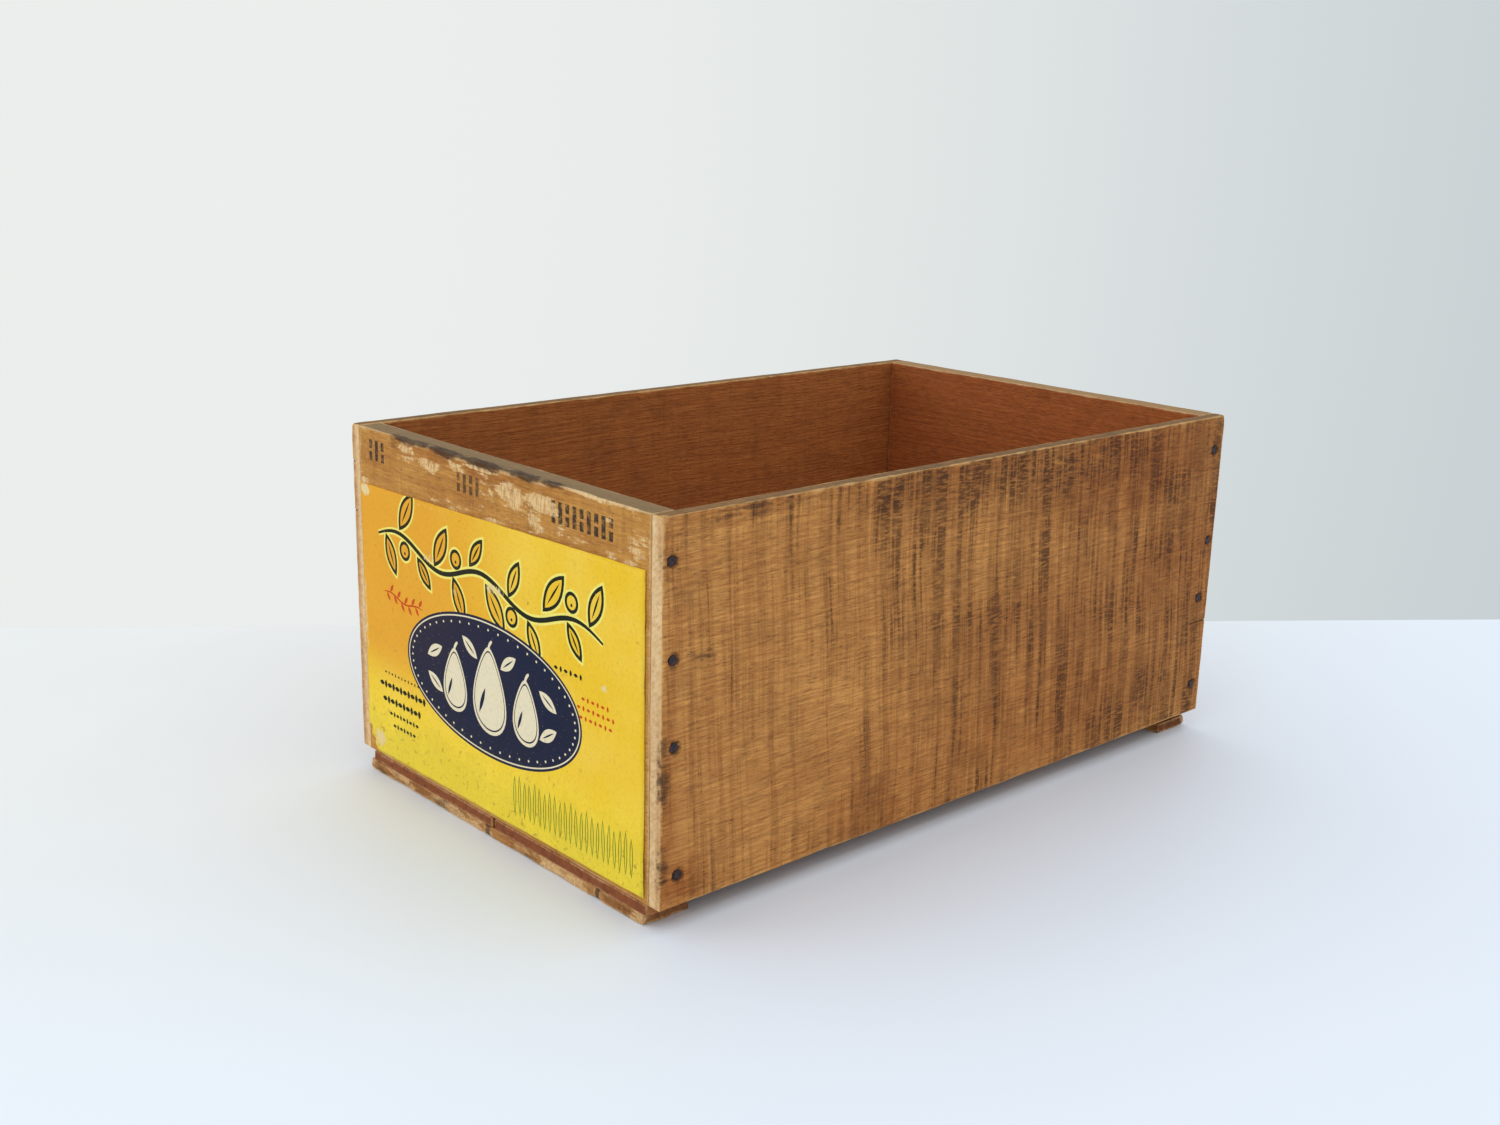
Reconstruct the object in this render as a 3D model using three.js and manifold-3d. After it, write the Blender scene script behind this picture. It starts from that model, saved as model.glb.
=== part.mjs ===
// An orchard fruit crate of nailed softwood boards, in millimetres, with +Z up.
// Two thick end panels stand between two thin side panels. Two floor boards lie across the
// bottoms of the ends, and a cleat under each end holds them. Every joint is a row of wire
// nails, and a printed paper sheet is pasted on the front end panel.
// The origin is on the ground, under the middle of the crate. The labelled end faces -Y.
import * as THREE from "three";
import { mergeVertices } from "three/addons/utils/BufferGeometryUtils.js";
import Module from "manifold-3d";

const wasm = await Module();
wasm.setup();

// Driving dimensions of the boards.
const CRATE_LENGTH = 500; // along Y, over the end faces
const CRATE_WIDTH = 311; // along X, over the side panels
const PANEL_HEIGHT = 216; // ends and sides alike
const END_THICKNESS = 16;
const SIDE_THICKNESS = 9.5;
const FLOOR_THICKNESS = 7;
const CLEAT_THICKNESS = 7;
const CLEAT_WIDTH = 33; // along Y
const CLEAT_LENGTH = 291; // along X
const FRONT_CLEAT_CENTRE = -3.5; // the cleats were nailed on a little off centre
const BACK_CLEAT_CENTRE = 1.5;
const FLOOR_LEFT_EDGE = -142;
const FLOOR_RIGHT_EDGE = 144.5;
const FLOOR_SEAM = -2; // X of the open seam between the two floor boards
const FLOOR_SEAM_WIDTH = 3;
const SIDE_CORNER_RADIUS = 3; // corners worn round in the panel's own plane
const CLEAT_CORNER_RADIUS = 1.5;
const CORNER_STEPS = 3;

// Wire nails, and the holes that they were driven into.
const NAIL_LENGTH = 38;
const NAIL_SHANK_RADIUS = 1.5;
const NAIL_HEAD_RADIUS = 2.75;
const NAIL_HEAD_THICKNESS = 1;
const NAIL_HEAD_BEVEL = 0.25;
const NAIL_POINT_LENGTH = 4;
const NAIL_SINK = 0.5; // how far a head lies below the wood
const NAIL_SIDES = 12;
const HOLE_CLEARANCE = 0.3;
const HEAD_SEAT_GAP = 0.25;
const CUTTER_OVERSHOOT = 1;

// Inset from the end face and height above the panel's bottom edge, for the nails of each
// corner. They were driven by hand, so no two rows match.
const SIDE_NAILS = {
  right_front: [[12.75, 18], [9.5, 91], [8.25, 139], [6.75, 192]],
  right_back: [[9, 21], [10.75, 86], [5.5, 127], [9, 192]],
  left_front: [[8.5, 20], [9.75, 84], [7.5, 134], [9, 190]],
  left_back: [[9.5, 17], [7.25, 89], [10, 136], [8, 194]],
};
const CLEAT_NAILS_FROM_CENTRE = [-112, -66, -22, 22, 66, 112];
const CLEAT_NAIL_INSET = 8; // from the end face, so that each nail enters the end panel

// The pasted sheet: its thickness, and its outline on the end panel as X and height above the
// panel's bottom edge. It was pasted slightly crooked, and its lower left corner is torn away.
const LABEL_THICKNESS = 0.25;
const LABEL_OUTLINE = [
  [-134, 2], [143, 3.5], [142.5, 186], [-145.5, 180], [-145.5, 19],
  [-142, 16.5], [-143, 12], [-138.5, 9], [-139, 5.5],
];

const MERGE_DISTANCE = 1e-4;
const FLOOR_BOTTOM = CLEAT_THICKNESS;
const PANEL_BOTTOM = CLEAT_THICKNESS + FLOOR_THICKNESS;
const HALF_LENGTH = CRATE_LENGTH / 2;
const HALF_WIDTH = CRATE_WIDTH / 2;
const END_WIDTH = CRATE_WIDTH - 2 * SIDE_THICKNESS;

// The three planes that an outline can be drawn on: its two directions, and the normal that it
// is extruded along.
const ALONG_X = new THREE.Vector3(1, 0, 0);
const ALONG_Y = new THREE.Vector3(0, 1, 0);
const ALONG_Z = new THREE.Vector3(0, 0, 1);
const PLAN = { across: ALONG_X, upward: ALONG_Y, normal: ALONG_Z };
const SIDE_VIEW = { across: ALONG_Y, upward: ALONG_Z, normal: ALONG_X };
const FRONT_VIEW = { across: ALONG_X, upward: ALONG_Z, normal: new THREE.Vector3(0, -1, 0) };

// Each kind of board has a finish of its own.
const MATERIALS = {
  end_wood: woodFinish("#b98a4e", 0.78),
  side_wood: woodFinish("#a9733f", 0.82),
  floor_wood: woodFinish("#8a4d2b", 0.85),
  cleat_wood: woodFinish("#c29a62", 0.8),
  label_paper: new THREE.MeshStandardMaterial({ color: "#e9c32b", roughness: 0.6, metalness: 0 }),
  nail_steel: new THREE.MeshStandardMaterial({ color: "#2b2c33", roughness: 0.55, metalness: 0.8 }),
};

function woodFinish(color, roughness) {
  return new THREE.MeshStandardMaterial({ color, roughness, metalness: 0 });
}

// A closed geometry as a solid that can be cut. Only its positions count, with equal ones merged.
function toSolid(geometry) {
  const bare = geometry.clone();
  bare.deleteAttribute("normal");
  bare.deleteAttribute("uv");
  const merged = mergeVertices(bare, MERGE_DISTANCE);
  const vertProperties = merged.getAttribute("position").array;
  const triVerts = new Uint32Array(merged.index.array);
  return new wasm.Manifold(new wasm.Mesh({ numProp: 3, vertProperties, triVerts }));
}

// A cut solid as a geometry again, with one normal per face.
function toGeometry(solid) {
  const mesh = solid.getMesh();
  const shared = new THREE.BufferGeometry();
  shared.setAttribute("position", new THREE.BufferAttribute(mesh.vertProperties, 3));
  shared.setIndex(new THREE.BufferAttribute(mesh.triVerts, 1));
  const geometry = shared.toNonIndexed();
  geometry.computeVertexNormals();
  return geometry;
}

// A rectangle with its corners rounded by arcs of the given radius.
function roundedRectangle(low, high, radius) {
  const shape = new THREE.Shape();
  shape.moveTo(low[0] + radius, low[1]);
  shape.lineTo(high[0] - radius, low[1]);
  shape.absarc(high[0] - radius, low[1] + radius, radius, -Math.PI / 2, 0);
  shape.lineTo(high[0], high[1] - radius);
  shape.absarc(high[0] - radius, high[1] - radius, radius, 0, Math.PI / 2);
  shape.lineTo(low[0] + radius, high[1]);
  shape.absarc(low[0] + radius, high[1] - radius, radius, Math.PI / 2, Math.PI);
  shape.lineTo(low[0], low[1] + radius);
  shape.absarc(low[0] + radius, low[1] + radius, radius, Math.PI, 1.5 * Math.PI);
  return shape;
}

function polygon(points) {
  return new THREE.Shape(points.map(([x, y]) => new THREE.Vector2(x, y)));
}

function rectangle(low, high) {
  return polygon([low, [high[0], low[1]], high, [low[0], high[1]]]);
}

// A flat board: an outline drawn on one of the planes, extruded by its thickness along the
// plane's normal from the given distance.
function board(outline, plane, start, thickness) {
  const geometry = new THREE.ExtrudeGeometry(outline, {
    depth: thickness,
    bevelEnabled: false,
    curveSegments: CORNER_STEPS,
  });
  const place = new THREE.Matrix4().makeBasis(plane.across, plane.upward, plane.normal);
  place.setPosition(plane.normal.clone().multiplyScalar(start));
  return geometry.applyMatrix4(place);
}

// A wire nail along Y: the top of its head at the origin and its point at -NAIL_LENGTH.
function nailGeometry() {
  const profile = [
    [0, -NAIL_LENGTH],
    [NAIL_SHANK_RADIUS, NAIL_POINT_LENGTH - NAIL_LENGTH],
    [NAIL_SHANK_RADIUS, -NAIL_HEAD_THICKNESS],
    [NAIL_HEAD_RADIUS, -NAIL_HEAD_THICKNESS],
    [NAIL_HEAD_RADIUS, -NAIL_HEAD_BEVEL],
    [NAIL_HEAD_RADIUS - NAIL_HEAD_BEVEL, 0],
    [0, 0],
  ];
  const points = profile.map(([radius, y]) => new THREE.Vector2(radius, y));
  return new THREE.LatheGeometry(points, NAIL_SIDES);
}

// The room that one nail takes up in the boards, along Y from outside the face at Y = 0: a
// shallow seat for the head, and a hole for the shank that is longer than the nail.
function nailHole() {
  const seatDepth = NAIL_SINK + NAIL_HEAD_THICKNESS + HEAD_SEAT_GAP;
  const holeDepth = NAIL_SINK + NAIL_LENGTH + CUTTER_OVERSHOOT;
  const seat = drill(NAIL_HEAD_RADIUS + HOLE_CLEARANCE, seatDepth);
  const shank = drill(NAIL_SHANK_RADIUS + HOLE_CLEARANCE, holeDepth);
  return seat.add(shank);
}

// A drilled cylinder along Y, from just outside Y = 0 down to the given depth.
function drill(radius, depth) {
  const height = depth + CUTTER_OVERSHOOT;
  const cylinder = new THREE.CylinderGeometry(radius, radius, height, NAIL_SIDES);
  return toSolid(cylinder.translate(0, CUTTER_OVERSHOOT - height / 2, 0));
}

// Every nail of the crate: its name, the point on the wood's surface that it enters, and the
// direction that its head faces.
function listNails() {
  const nails = [];
  for (const [corner, places] of Object.entries(SIDE_NAILS)) {
    const side = corner.startsWith("right") ? 1 : -1;
    const end = corner.endsWith("back") ? 1 : -1;
    places.forEach(([inset, height], index) => {
      nails.push({
        name: `nail_${corner}_${index + 1}`,
        point: new THREE.Vector3(side * HALF_WIDTH, end * (HALF_LENGTH - inset), PANEL_BOTTOM + height),
        outward: new THREE.Vector3(side, 0, 0),
      });
    });
  }
  for (const [place, end] of [["front", -1], ["back", 1]]) {
    CLEAT_NAILS_FROM_CENTRE.forEach((x, index) => {
      nails.push({
        name: `nail_cleat_${place}_${index + 1}`,
        point: new THREE.Vector3(x, end * (HALF_LENGTH - CLEAT_NAIL_INSET), 0),
        outward: new THREE.Vector3(0, 0, -1),
      });
    });
  }
  return nails;
}

// The matrix that takes a nail or a nail hole from the Y axis to its place in the crate.
function nailPlacement(nail) {
  const turn = new THREE.Quaternion().setFromUnitVectors(ALONG_Y, nail.outward);
  return new THREE.Matrix4().compose(nail.point, turn, new THREE.Vector3(1, 1, 1));
}

// The board's geometry with a hole for each nail whose cutter reaches it.
function cutNailHoles(geometry, cutters) {
  return toGeometry(cutters.reduce((solid, cutter) => solid.subtract(cutter), toSolid(geometry)));
}

const NAILS = listNails();
const NAIL_HOLE = nailHole();
const CUTTERS = NAILS.map((nail) => NAIL_HOLE.transform(nailPlacement(nail).toArray()));

const crate = new THREE.Group();
crate.name = "fruit_crate";

function addPiece(name, geometry, material) {
  const mesh = new THREE.Mesh(geometry, material);
  mesh.name = name;
  crate.add(mesh);
  return mesh;
}

// The two thick end panels, one wide board each, standing between the side panels.
function addEndPanels() {
  const outline = rectangle([-END_WIDTH / 2, 0], [END_WIDTH / 2, PANEL_HEIGHT]);
  const starts = { end_panel_front: HALF_LENGTH - END_THICKNESS, end_panel_back: -HALF_LENGTH };
  for (const [name, start] of Object.entries(starts)) {
    const geometry = board(outline, FRONT_VIEW, start, END_THICKNESS).translate(0, 0, PANEL_BOTTOM);
    addPiece(name, cutNailHoles(geometry, CUTTERS), MATERIALS.end_wood);
  }
}

// The two thin side panels, which cover the edges of the end panels.
function addSidePanels() {
  const low = [-HALF_LENGTH, 0];
  const high = [HALF_LENGTH, PANEL_HEIGHT];
  const outline = roundedRectangle(low, high, SIDE_CORNER_RADIUS);
  const starts = { side_panel_right: HALF_WIDTH - SIDE_THICKNESS, side_panel_left: -HALF_WIDTH };
  for (const [name, start] of Object.entries(starts)) {
    const geometry = board(outline, SIDE_VIEW, start, SIDE_THICKNESS).translate(0, 0, PANEL_BOTTOM);
    addPiece(name, cutNailHoles(geometry, CUTTERS), MATERIALS.side_wood);
  }
}

// The two floor boards, nailed across the bottom edges of the end panels.
function addFloorBoards() {
  const edges = {
    floor_board_left: [FLOOR_LEFT_EDGE, FLOOR_SEAM - FLOOR_SEAM_WIDTH / 2],
    floor_board_right: [FLOOR_SEAM + FLOOR_SEAM_WIDTH / 2, FLOOR_RIGHT_EDGE],
  };
  for (const [name, [left, right]] of Object.entries(edges)) {
    const outline = rectangle([left, -HALF_LENGTH], [right, HALF_LENGTH]);
    const geometry = board(outline, PLAN, FLOOR_BOTTOM, FLOOR_THICKNESS);
    addPiece(name, cutNailHoles(geometry, CUTTERS), MATERIALS.floor_wood);
  }
}

// A cleat under each end holds the floor boards' ends and lifts the crate off the ground.
function addCleats() {
  const places = {
    cleat_front: [FRONT_CLEAT_CENTRE, -HALF_LENGTH],
    cleat_back: [BACK_CLEAT_CENTRE, HALF_LENGTH - CLEAT_WIDTH],
  };
  for (const [name, [centre, nearEdge]] of Object.entries(places)) {
    const low = [centre - CLEAT_LENGTH / 2, nearEdge];
    const high = [centre + CLEAT_LENGTH / 2, nearEdge + CLEAT_WIDTH];
    const outline = roundedRectangle(low, high, CLEAT_CORNER_RADIUS);
    const geometry = board(outline, PLAN, 0, CLEAT_THICKNESS);
    addPiece(name, cutNailHoles(geometry, CUTTERS), MATERIALS.cleat_wood);
  }
}

// The printed sheet pasted on the outer face of the front end panel.
function addLabel() {
  const geometry = board(polygon(LABEL_OUTLINE), FRONT_VIEW, HALF_LENGTH, LABEL_THICKNESS);
  addPiece("paper_label", geometry.translate(0, 0, PANEL_BOTTOM), MATERIALS.label_paper);
}

// All the nails share one geometry. Each is sunk a little below the surface that it enters.
function addNails() {
  const geometry = nailGeometry();
  for (const nail of NAILS) {
    const mesh = addPiece(nail.name, geometry, MATERIALS.nail_steel);
    mesh.quaternion.setFromUnitVectors(ALONG_Y, nail.outward);
    mesh.position.copy(nail.point).addScaledVector(nail.outward, -NAIL_SINK);
  }
}

addEndPanels();
addSidePanels();
addFloorBoards();
addCleats();
addLabel();
addNails();

export default crate;
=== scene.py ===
"""A nailed softwood fruit crate: worn boards, wire nails and a pasted paper label, in metres."""
import logging
import math
from dataclasses import dataclass, field
from enum import Enum

import bmesh
import bpy
import numpy as np
from mathutils import Matrix, Vector
from mathutils.geometry import delaunay_2d_cdt


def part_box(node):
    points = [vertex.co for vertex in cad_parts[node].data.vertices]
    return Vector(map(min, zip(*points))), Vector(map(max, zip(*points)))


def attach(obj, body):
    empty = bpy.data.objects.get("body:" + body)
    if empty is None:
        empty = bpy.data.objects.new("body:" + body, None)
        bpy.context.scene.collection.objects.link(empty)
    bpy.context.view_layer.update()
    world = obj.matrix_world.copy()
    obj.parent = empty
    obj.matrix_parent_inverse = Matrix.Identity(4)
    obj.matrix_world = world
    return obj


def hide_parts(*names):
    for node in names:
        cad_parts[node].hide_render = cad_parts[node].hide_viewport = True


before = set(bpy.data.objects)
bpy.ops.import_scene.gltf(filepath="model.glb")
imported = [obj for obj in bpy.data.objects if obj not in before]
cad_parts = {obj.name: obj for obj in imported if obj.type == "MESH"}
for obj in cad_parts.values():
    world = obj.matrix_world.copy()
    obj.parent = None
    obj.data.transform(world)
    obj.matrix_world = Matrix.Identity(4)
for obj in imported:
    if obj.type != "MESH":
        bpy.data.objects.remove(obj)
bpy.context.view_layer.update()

log = logging.getLogger("crate")

MM = 0.001
ROOT_BODY = "root"
NAIL_PREFIX = "nail_"
HEAD_REACH = 1.5
Colour = tuple[float, float, float, float]
Point = tuple[float, float]
Socket = bpy.types.NodeSocket
Sockets = bpy.types.bpy_prop_collection


def srgb(red: int, green: int, blue: int) -> Colour:
    """Turns a colour as seen on paper into a shader's linear colour.

    Args:
        red: red from 0 to 255.
        green: green from 0 to 255.
        blue: blue from 0 to 255.

    Returns:
        The linear colour with a full alpha.
    """
    def linear(value: float) -> float:
        """Undoes the display curve for one channel."""
        return value / 12.92 if value <= 0.04045 else ((value + 0.055) / 1.055) ** 2.4

    return (linear(red / 255), linear(green / 255), linear(blue / 255), 1.0)


class Axis(Enum):
    """The crate's directions: X over its width, Y along its length and Z up."""

    X = 0
    Y = 1
    Z = 2


Axes = tuple[Axis, Axis, Axis]


class Ink(Enum):
    """The paper and the five inks printed on it. A later one lies over an earlier one."""

    PAPER = "paper"
    PALE = "pale"
    NAVY = "navy"
    CREAM = "cream"
    BLACK = "black"
    RED = "red"
    GREEN = "green"


class Unevenness:
    """Smooth random values between -1 and 1 over a plane, the same ones at every run."""

    SIZE = 256

    def __init__(self, seed: int) -> None:
        """Fills the table of random values from the seed."""
        self.table = np.random.default_rng(seed).uniform(-1.0, 1.0, (self.SIZE, self.SIZE))

    def at(self, first: np.ndarray, second: np.ndarray) -> np.ndarray:
        """Gives the value at each place, with one random value per whole number.

        Args:
            first: the first coordinate of each place.
            second: the second coordinate of each place.

        Returns:
            One value per place.
        """
        first, second = np.broadcast_arrays(np.asarray(first, float), np.asarray(second, float))
        low_a = np.floor(first).astype(int)
        low_b = np.floor(second).astype(int)
        part_a = first - low_a
        part_b = second - low_b
        part_a = part_a * part_a * (3 - 2 * part_a)
        part_b = part_b * part_b * (3 - 2 * part_b)
        a0, a1 = low_a % self.SIZE, (low_a + 1) % self.SIZE
        b0, b1 = low_b % self.SIZE, (low_b + 1) % self.SIZE
        near = self.table[a0, b0] * (1 - part_a) + self.table[a1, b0] * part_a
        far = self.table[a0, b1] * (1 - part_a) + self.table[a1, b1] * part_a
        return near * (1 - part_b) + far * part_b

    def layered(self, first: np.ndarray, second: np.ndarray, layers: int = 3) -> np.ndarray:
        """Adds finer and weaker layers of unevenness over each other.

        Args:
            first: the first coordinate of each place.
            second: the second coordinate of each place.
            layers: how many layers there are; each is twice as fine as the one before.

        Returns:
            One value per place, between about -1 and 1.
        """
        total = np.zeros(np.broadcast(first, second).shape)
        weight = 0.0
        for layer in range(layers):
            share = 0.5 ** layer
            step = 2.0 ** layer
            total = total + share * self.at(first * step + 17.3 * layer, second * step + 41.7 * layer)
            weight += share
        return total / weight


def smooth_step(value: np.ndarray, low: float, high: float) -> np.ndarray:
    """Rises smoothly from 0 at low to 1 at high, which may lie below low."""
    share = np.clip((value - low) / (high - low), 0.0, 1.0)
    return share * share * (3 - 2 * share)


# Shader building


class Graph:
    """Adds nodes to one node tree and joins them."""

    def __init__(self, tree: bpy.types.NodeTree) -> None:
        """Keeps the tree that the nodes go into."""
        self.tree = tree

    def set(self, socket: Socket, value: object) -> None:
        """Feeds a socket from another socket, or sets its own value.

        Args:
            socket: the input to feed.
            value: an output socket, or a plain value.
        """
        if isinstance(value, Socket):
            self.tree.links.new(value, socket)
        elif value is not None:
            socket.default_value = value

    def add(self, kind: str, inputs: dict[str | int, object] | None = None,
            **settings: object) -> bpy.types.Node:
        """Adds one node.

        Args:
            kind: the node's type without the ShaderNode in front.
            inputs: what each named or numbered input gets.
            **settings: the node's own settings.

        Returns:
            The new node.
        """
        node = self.tree.nodes.new("ShaderNode" + kind)
        for name, value in settings.items():
            setattr(node, name, value)
        for key, value in (inputs or {}).items():
            self.set(node.inputs[key], value)
        return node

    def maths(self, operation: str, first: object, second: object = None,
              third: object = None) -> Socket:
        """Adds one Math node on one to three values and gives its result."""
        return self.add("Math", {0: first, 1: second, 2: third}, operation=operation).outputs[0]

    def times(self, first: object, second: object) -> Socket:
        """Multiplies two values."""
        return self.maths("MULTIPLY", first, second)

    def plus(self, first: object, second: object) -> Socket:
        """Adds two values."""
        return self.maths("ADD", first, second)

    def minus(self, first: object, second: object) -> Socket:
        """Takes the second value from the first."""
        return self.maths("SUBTRACT", first, second)

    def times_plus(self, value: object, factor: object, extra: object) -> Socket:
        """Multiplies a value by a factor and adds something extra."""
        return self.maths("MULTIPLY_ADD", value, factor, extra)

    def step(self, value: object, low: object, high: object,
             to_low: object = 0.0, to_high: object = 1.0) -> Socket:
        """Maps a value smoothly from one range to another, and holds it at both ends."""
        inputs = {"Value": value, "From Min": low, "From Max": high, "To Min": to_low, "To Max": to_high}
        return self.add("MapRange", inputs, interpolation_type="SMOOTHSTEP").outputs["Result"]

    def mix(self, share: object, under: object, over: object,
            blend: str = "MIX") -> Socket:
        """Lays one colour over another.

        Args:
            share: how much of the upper colour shows.
            under: the lower colour.
            over: the upper colour.
            blend: how the upper colour acts on the lower one.

        Returns:
            The mixed colour's socket.
        """
        node = self.add("Mix", data_type="RGBA", blend_type=blend, clamp_factor=True)
        self.set(node.inputs[0], share)
        self.set(node.inputs[6], under)
        self.set(node.inputs[7], over)
        return node.outputs[2]

    def painted(self, name: str) -> Socket:
        """Gives a mask that is painted on the mesh."""
        return self.add("Attribute", attribute_name=name).outputs["Fac"]

    def split(self, vector: object) -> tuple[Socket, ...]:
        """Gives a vector's three parts."""
        return tuple(self.add("SeparateXYZ", {0: vector}).outputs)

    def join(self, x: object, y: object, z: object) -> Socket:
        """Makes a vector from three parts."""
        return self.add("CombineXYZ", {0: x, 1: y, 2: z}).outputs[0]

    def stretch(self, vector: object, x: float, y: float, z: float) -> Socket:
        """Multiplies a vector's parts by three numbers."""
        node = self.add("VectorMath", {0: vector, 1: (x, y, z)}, operation="MULTIPLY")
        return node.outputs[0]

    def in_millimetres(self, vector: object) -> Socket:
        """Turns a vector in metres into one in millimetres."""
        return self.stretch(vector, 1 / MM, 1 / MM, 1 / MM)

    def noise(self, place: object, scale: object = 1.0, detail: float = 2.0,
              roughness: float = 0.5, distortion: float = 0.0) -> bpy.types.Node:
        """Adds a noise texture that reads the given place."""
        inputs = {"Vector": place, "Scale": scale, "Detail": detail,
                  "Roughness": roughness, "Distortion": distortion}
        return self.add("TexNoise", inputs)


class Effect:
    """A shader node group that several materials use, built once and placed in each."""

    name = "effect"
    inputs: dict[str, float | tuple[float, float, float]] = {}
    outputs: tuple[str, ...] = ()

    @classmethod
    def group(cls) -> bpy.types.NodeTree:
        """Gives the node group, and builds it the first time.

        Returns:
            The node group with its named sockets.
        """
        known = bpy.data.node_groups.get(cls.name)
        if known:
            return known
        tree = bpy.data.node_groups.new(cls.name, "ShaderNodeTree")
        for name, value in cls.inputs.items():
            kind = "NodeSocketVector" if isinstance(value, tuple) else "NodeSocketFloat"
            socket = tree.interface.new_socket(name, in_out="INPUT", socket_type=kind)
            socket.default_value = value
        for name in cls.outputs:
            tree.interface.new_socket(name, in_out="OUTPUT", socket_type="NodeSocketFloat")
        source = tree.nodes.new("NodeGroupInput")
        target = tree.nodes.new("NodeGroupOutput")
        results = cls.build(Graph(tree), source.outputs)
        for name, socket in results.items():
            tree.links.new(socket, target.inputs[name])
        return tree

    @classmethod
    def build(cls, graph: Graph, given: Sockets) -> dict[str, Socket]:
        """Makes the group's nodes.

        Args:
            graph: the group's own tree.
            given: the group's inputs.

        Returns:
            The socket that feeds each output.
        """
        raise NotImplementedError

    @classmethod
    def place(cls, graph: Graph, **values: object) -> Sockets:
        """Places the effect in a material.

        Args:
            graph: the material's tree.
            **values: what each input gets, with spaces in its name written as underscores.

        Returns:
            The placed node's outputs.
        """
        node = graph.tree.nodes.new("ShaderNodeGroup")
        node.node_tree = cls.group()
        for name, value in values.items():
            graph.set(node.inputs[name.replace("_", " ")], value)
        return node.outputs


class GrowthRings(Effect):
    """The rings of the log that a board was sawn from, as bands of late wood."""

    name = "growth_rings"
    inputs = {"Place": (0.0, 0.0, 0.0), "Pith Across": 0.0, "Pith Deep": -60.0,
              "Ring Width": 3.0, "Wander": 12.0}
    outputs = ("Late Wood", "Ring Tone")

    DRIFT = (0.0035, 0.012, 0.012)
    RAGGED = (0.02, 0.25, 0.25)
    RAGGED_REACH = 1.6
    LATE_FROM, LATE_PEAK = 0.25, 0.92
    FAINTEST = 0.25

    @classmethod
    def build(cls, graph: Graph, given: Sockets) -> dict[str, Socket]:
        """Measures how far each place is from a wandering pith, and counts rings on the way."""
        _, across, deep = graph.split(given["Place"])
        drift = graph.noise(graph.stretch(given["Place"], *cls.DRIFT), detail=1.0)
        drift_across, drift_deep, _ = graph.split(drift.outputs["Color"])
        swing_across = graph.times(graph.minus(drift_across, 0.5), given["Wander"])
        swing_deep = graph.times(graph.minus(drift_deep, 0.5), given["Wander"])
        side = graph.plus(graph.minus(across, given["Pith Across"]), swing_across)
        depth = graph.plus(graph.minus(deep, given["Pith Deep"]), swing_deep)
        distance = graph.maths("SQRT", graph.plus(graph.times(side, side), graph.times(depth, depth)))
        ragged = graph.noise(graph.stretch(given["Place"], *cls.RAGGED), detail=2.0).outputs[0]
        distance = graph.plus(distance, graph.times(ragged, cls.RAGGED_REACH))
        count = graph.maths("DIVIDE", distance, given["Ring Width"])
        phase = graph.maths("FRACT", count)
        rise = graph.step(phase, cls.LATE_FROM, cls.LATE_PEAK)
        fall = graph.step(phase, cls.LATE_PEAK, 1.0, 1.0, 0.0)
        number = graph.maths("FLOOR", count)
        tone = graph.add("TexWhiteNoise", {"W": number}, noise_dimensions="1D").outputs["Value"]
        strength = graph.times_plus(tone, 1 - cls.FAINTEST, cls.FAINTEST)
        return {"Late Wood": graph.times(graph.times(rise, fall), strength), "Ring Tone": tone}


class WoodFibre(Effect):
    """Fibres along the grain: broad bands, pale and dark hairs, and short dark pores."""

    name = "wood_fibre"
    inputs = {"Place": (0.0, 0.0, 0.0)}
    outputs = ("Fibre", "Pale Hair", "Dark Hair", "Pores")

    BANDS = (0.034, 0.75, 0.75)
    HAIRS = (0.13, 1.15, 1.15)
    PORES = (0.16, 0.95, 0.95)

    @classmethod
    def build(cls, graph: Graph, given: Sockets) -> dict[str, Socket]:
        """Stretches three noises along the grain."""
        place = given["Place"]
        fibre = graph.noise(graph.stretch(place, *cls.BANDS), 1.0, 5.0, 0.72).outputs[0]
        hair = graph.noise(graph.stretch(place, *cls.HAIRS), 1.0, 4.0, 0.7).outputs[0]
        pores = graph.noise(graph.stretch(place, *cls.PORES), 1.0, 2.0, 0.6).outputs[0]
        return {"Fibre": graph.step(fibre, 0.3, 0.68), "Pale Hair": graph.step(hair, 0.52, 0.68),
                "Dark Hair": graph.step(hair, 0.48, 0.34), "Pores": graph.step(pores, 0.58, 0.7)}


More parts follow.
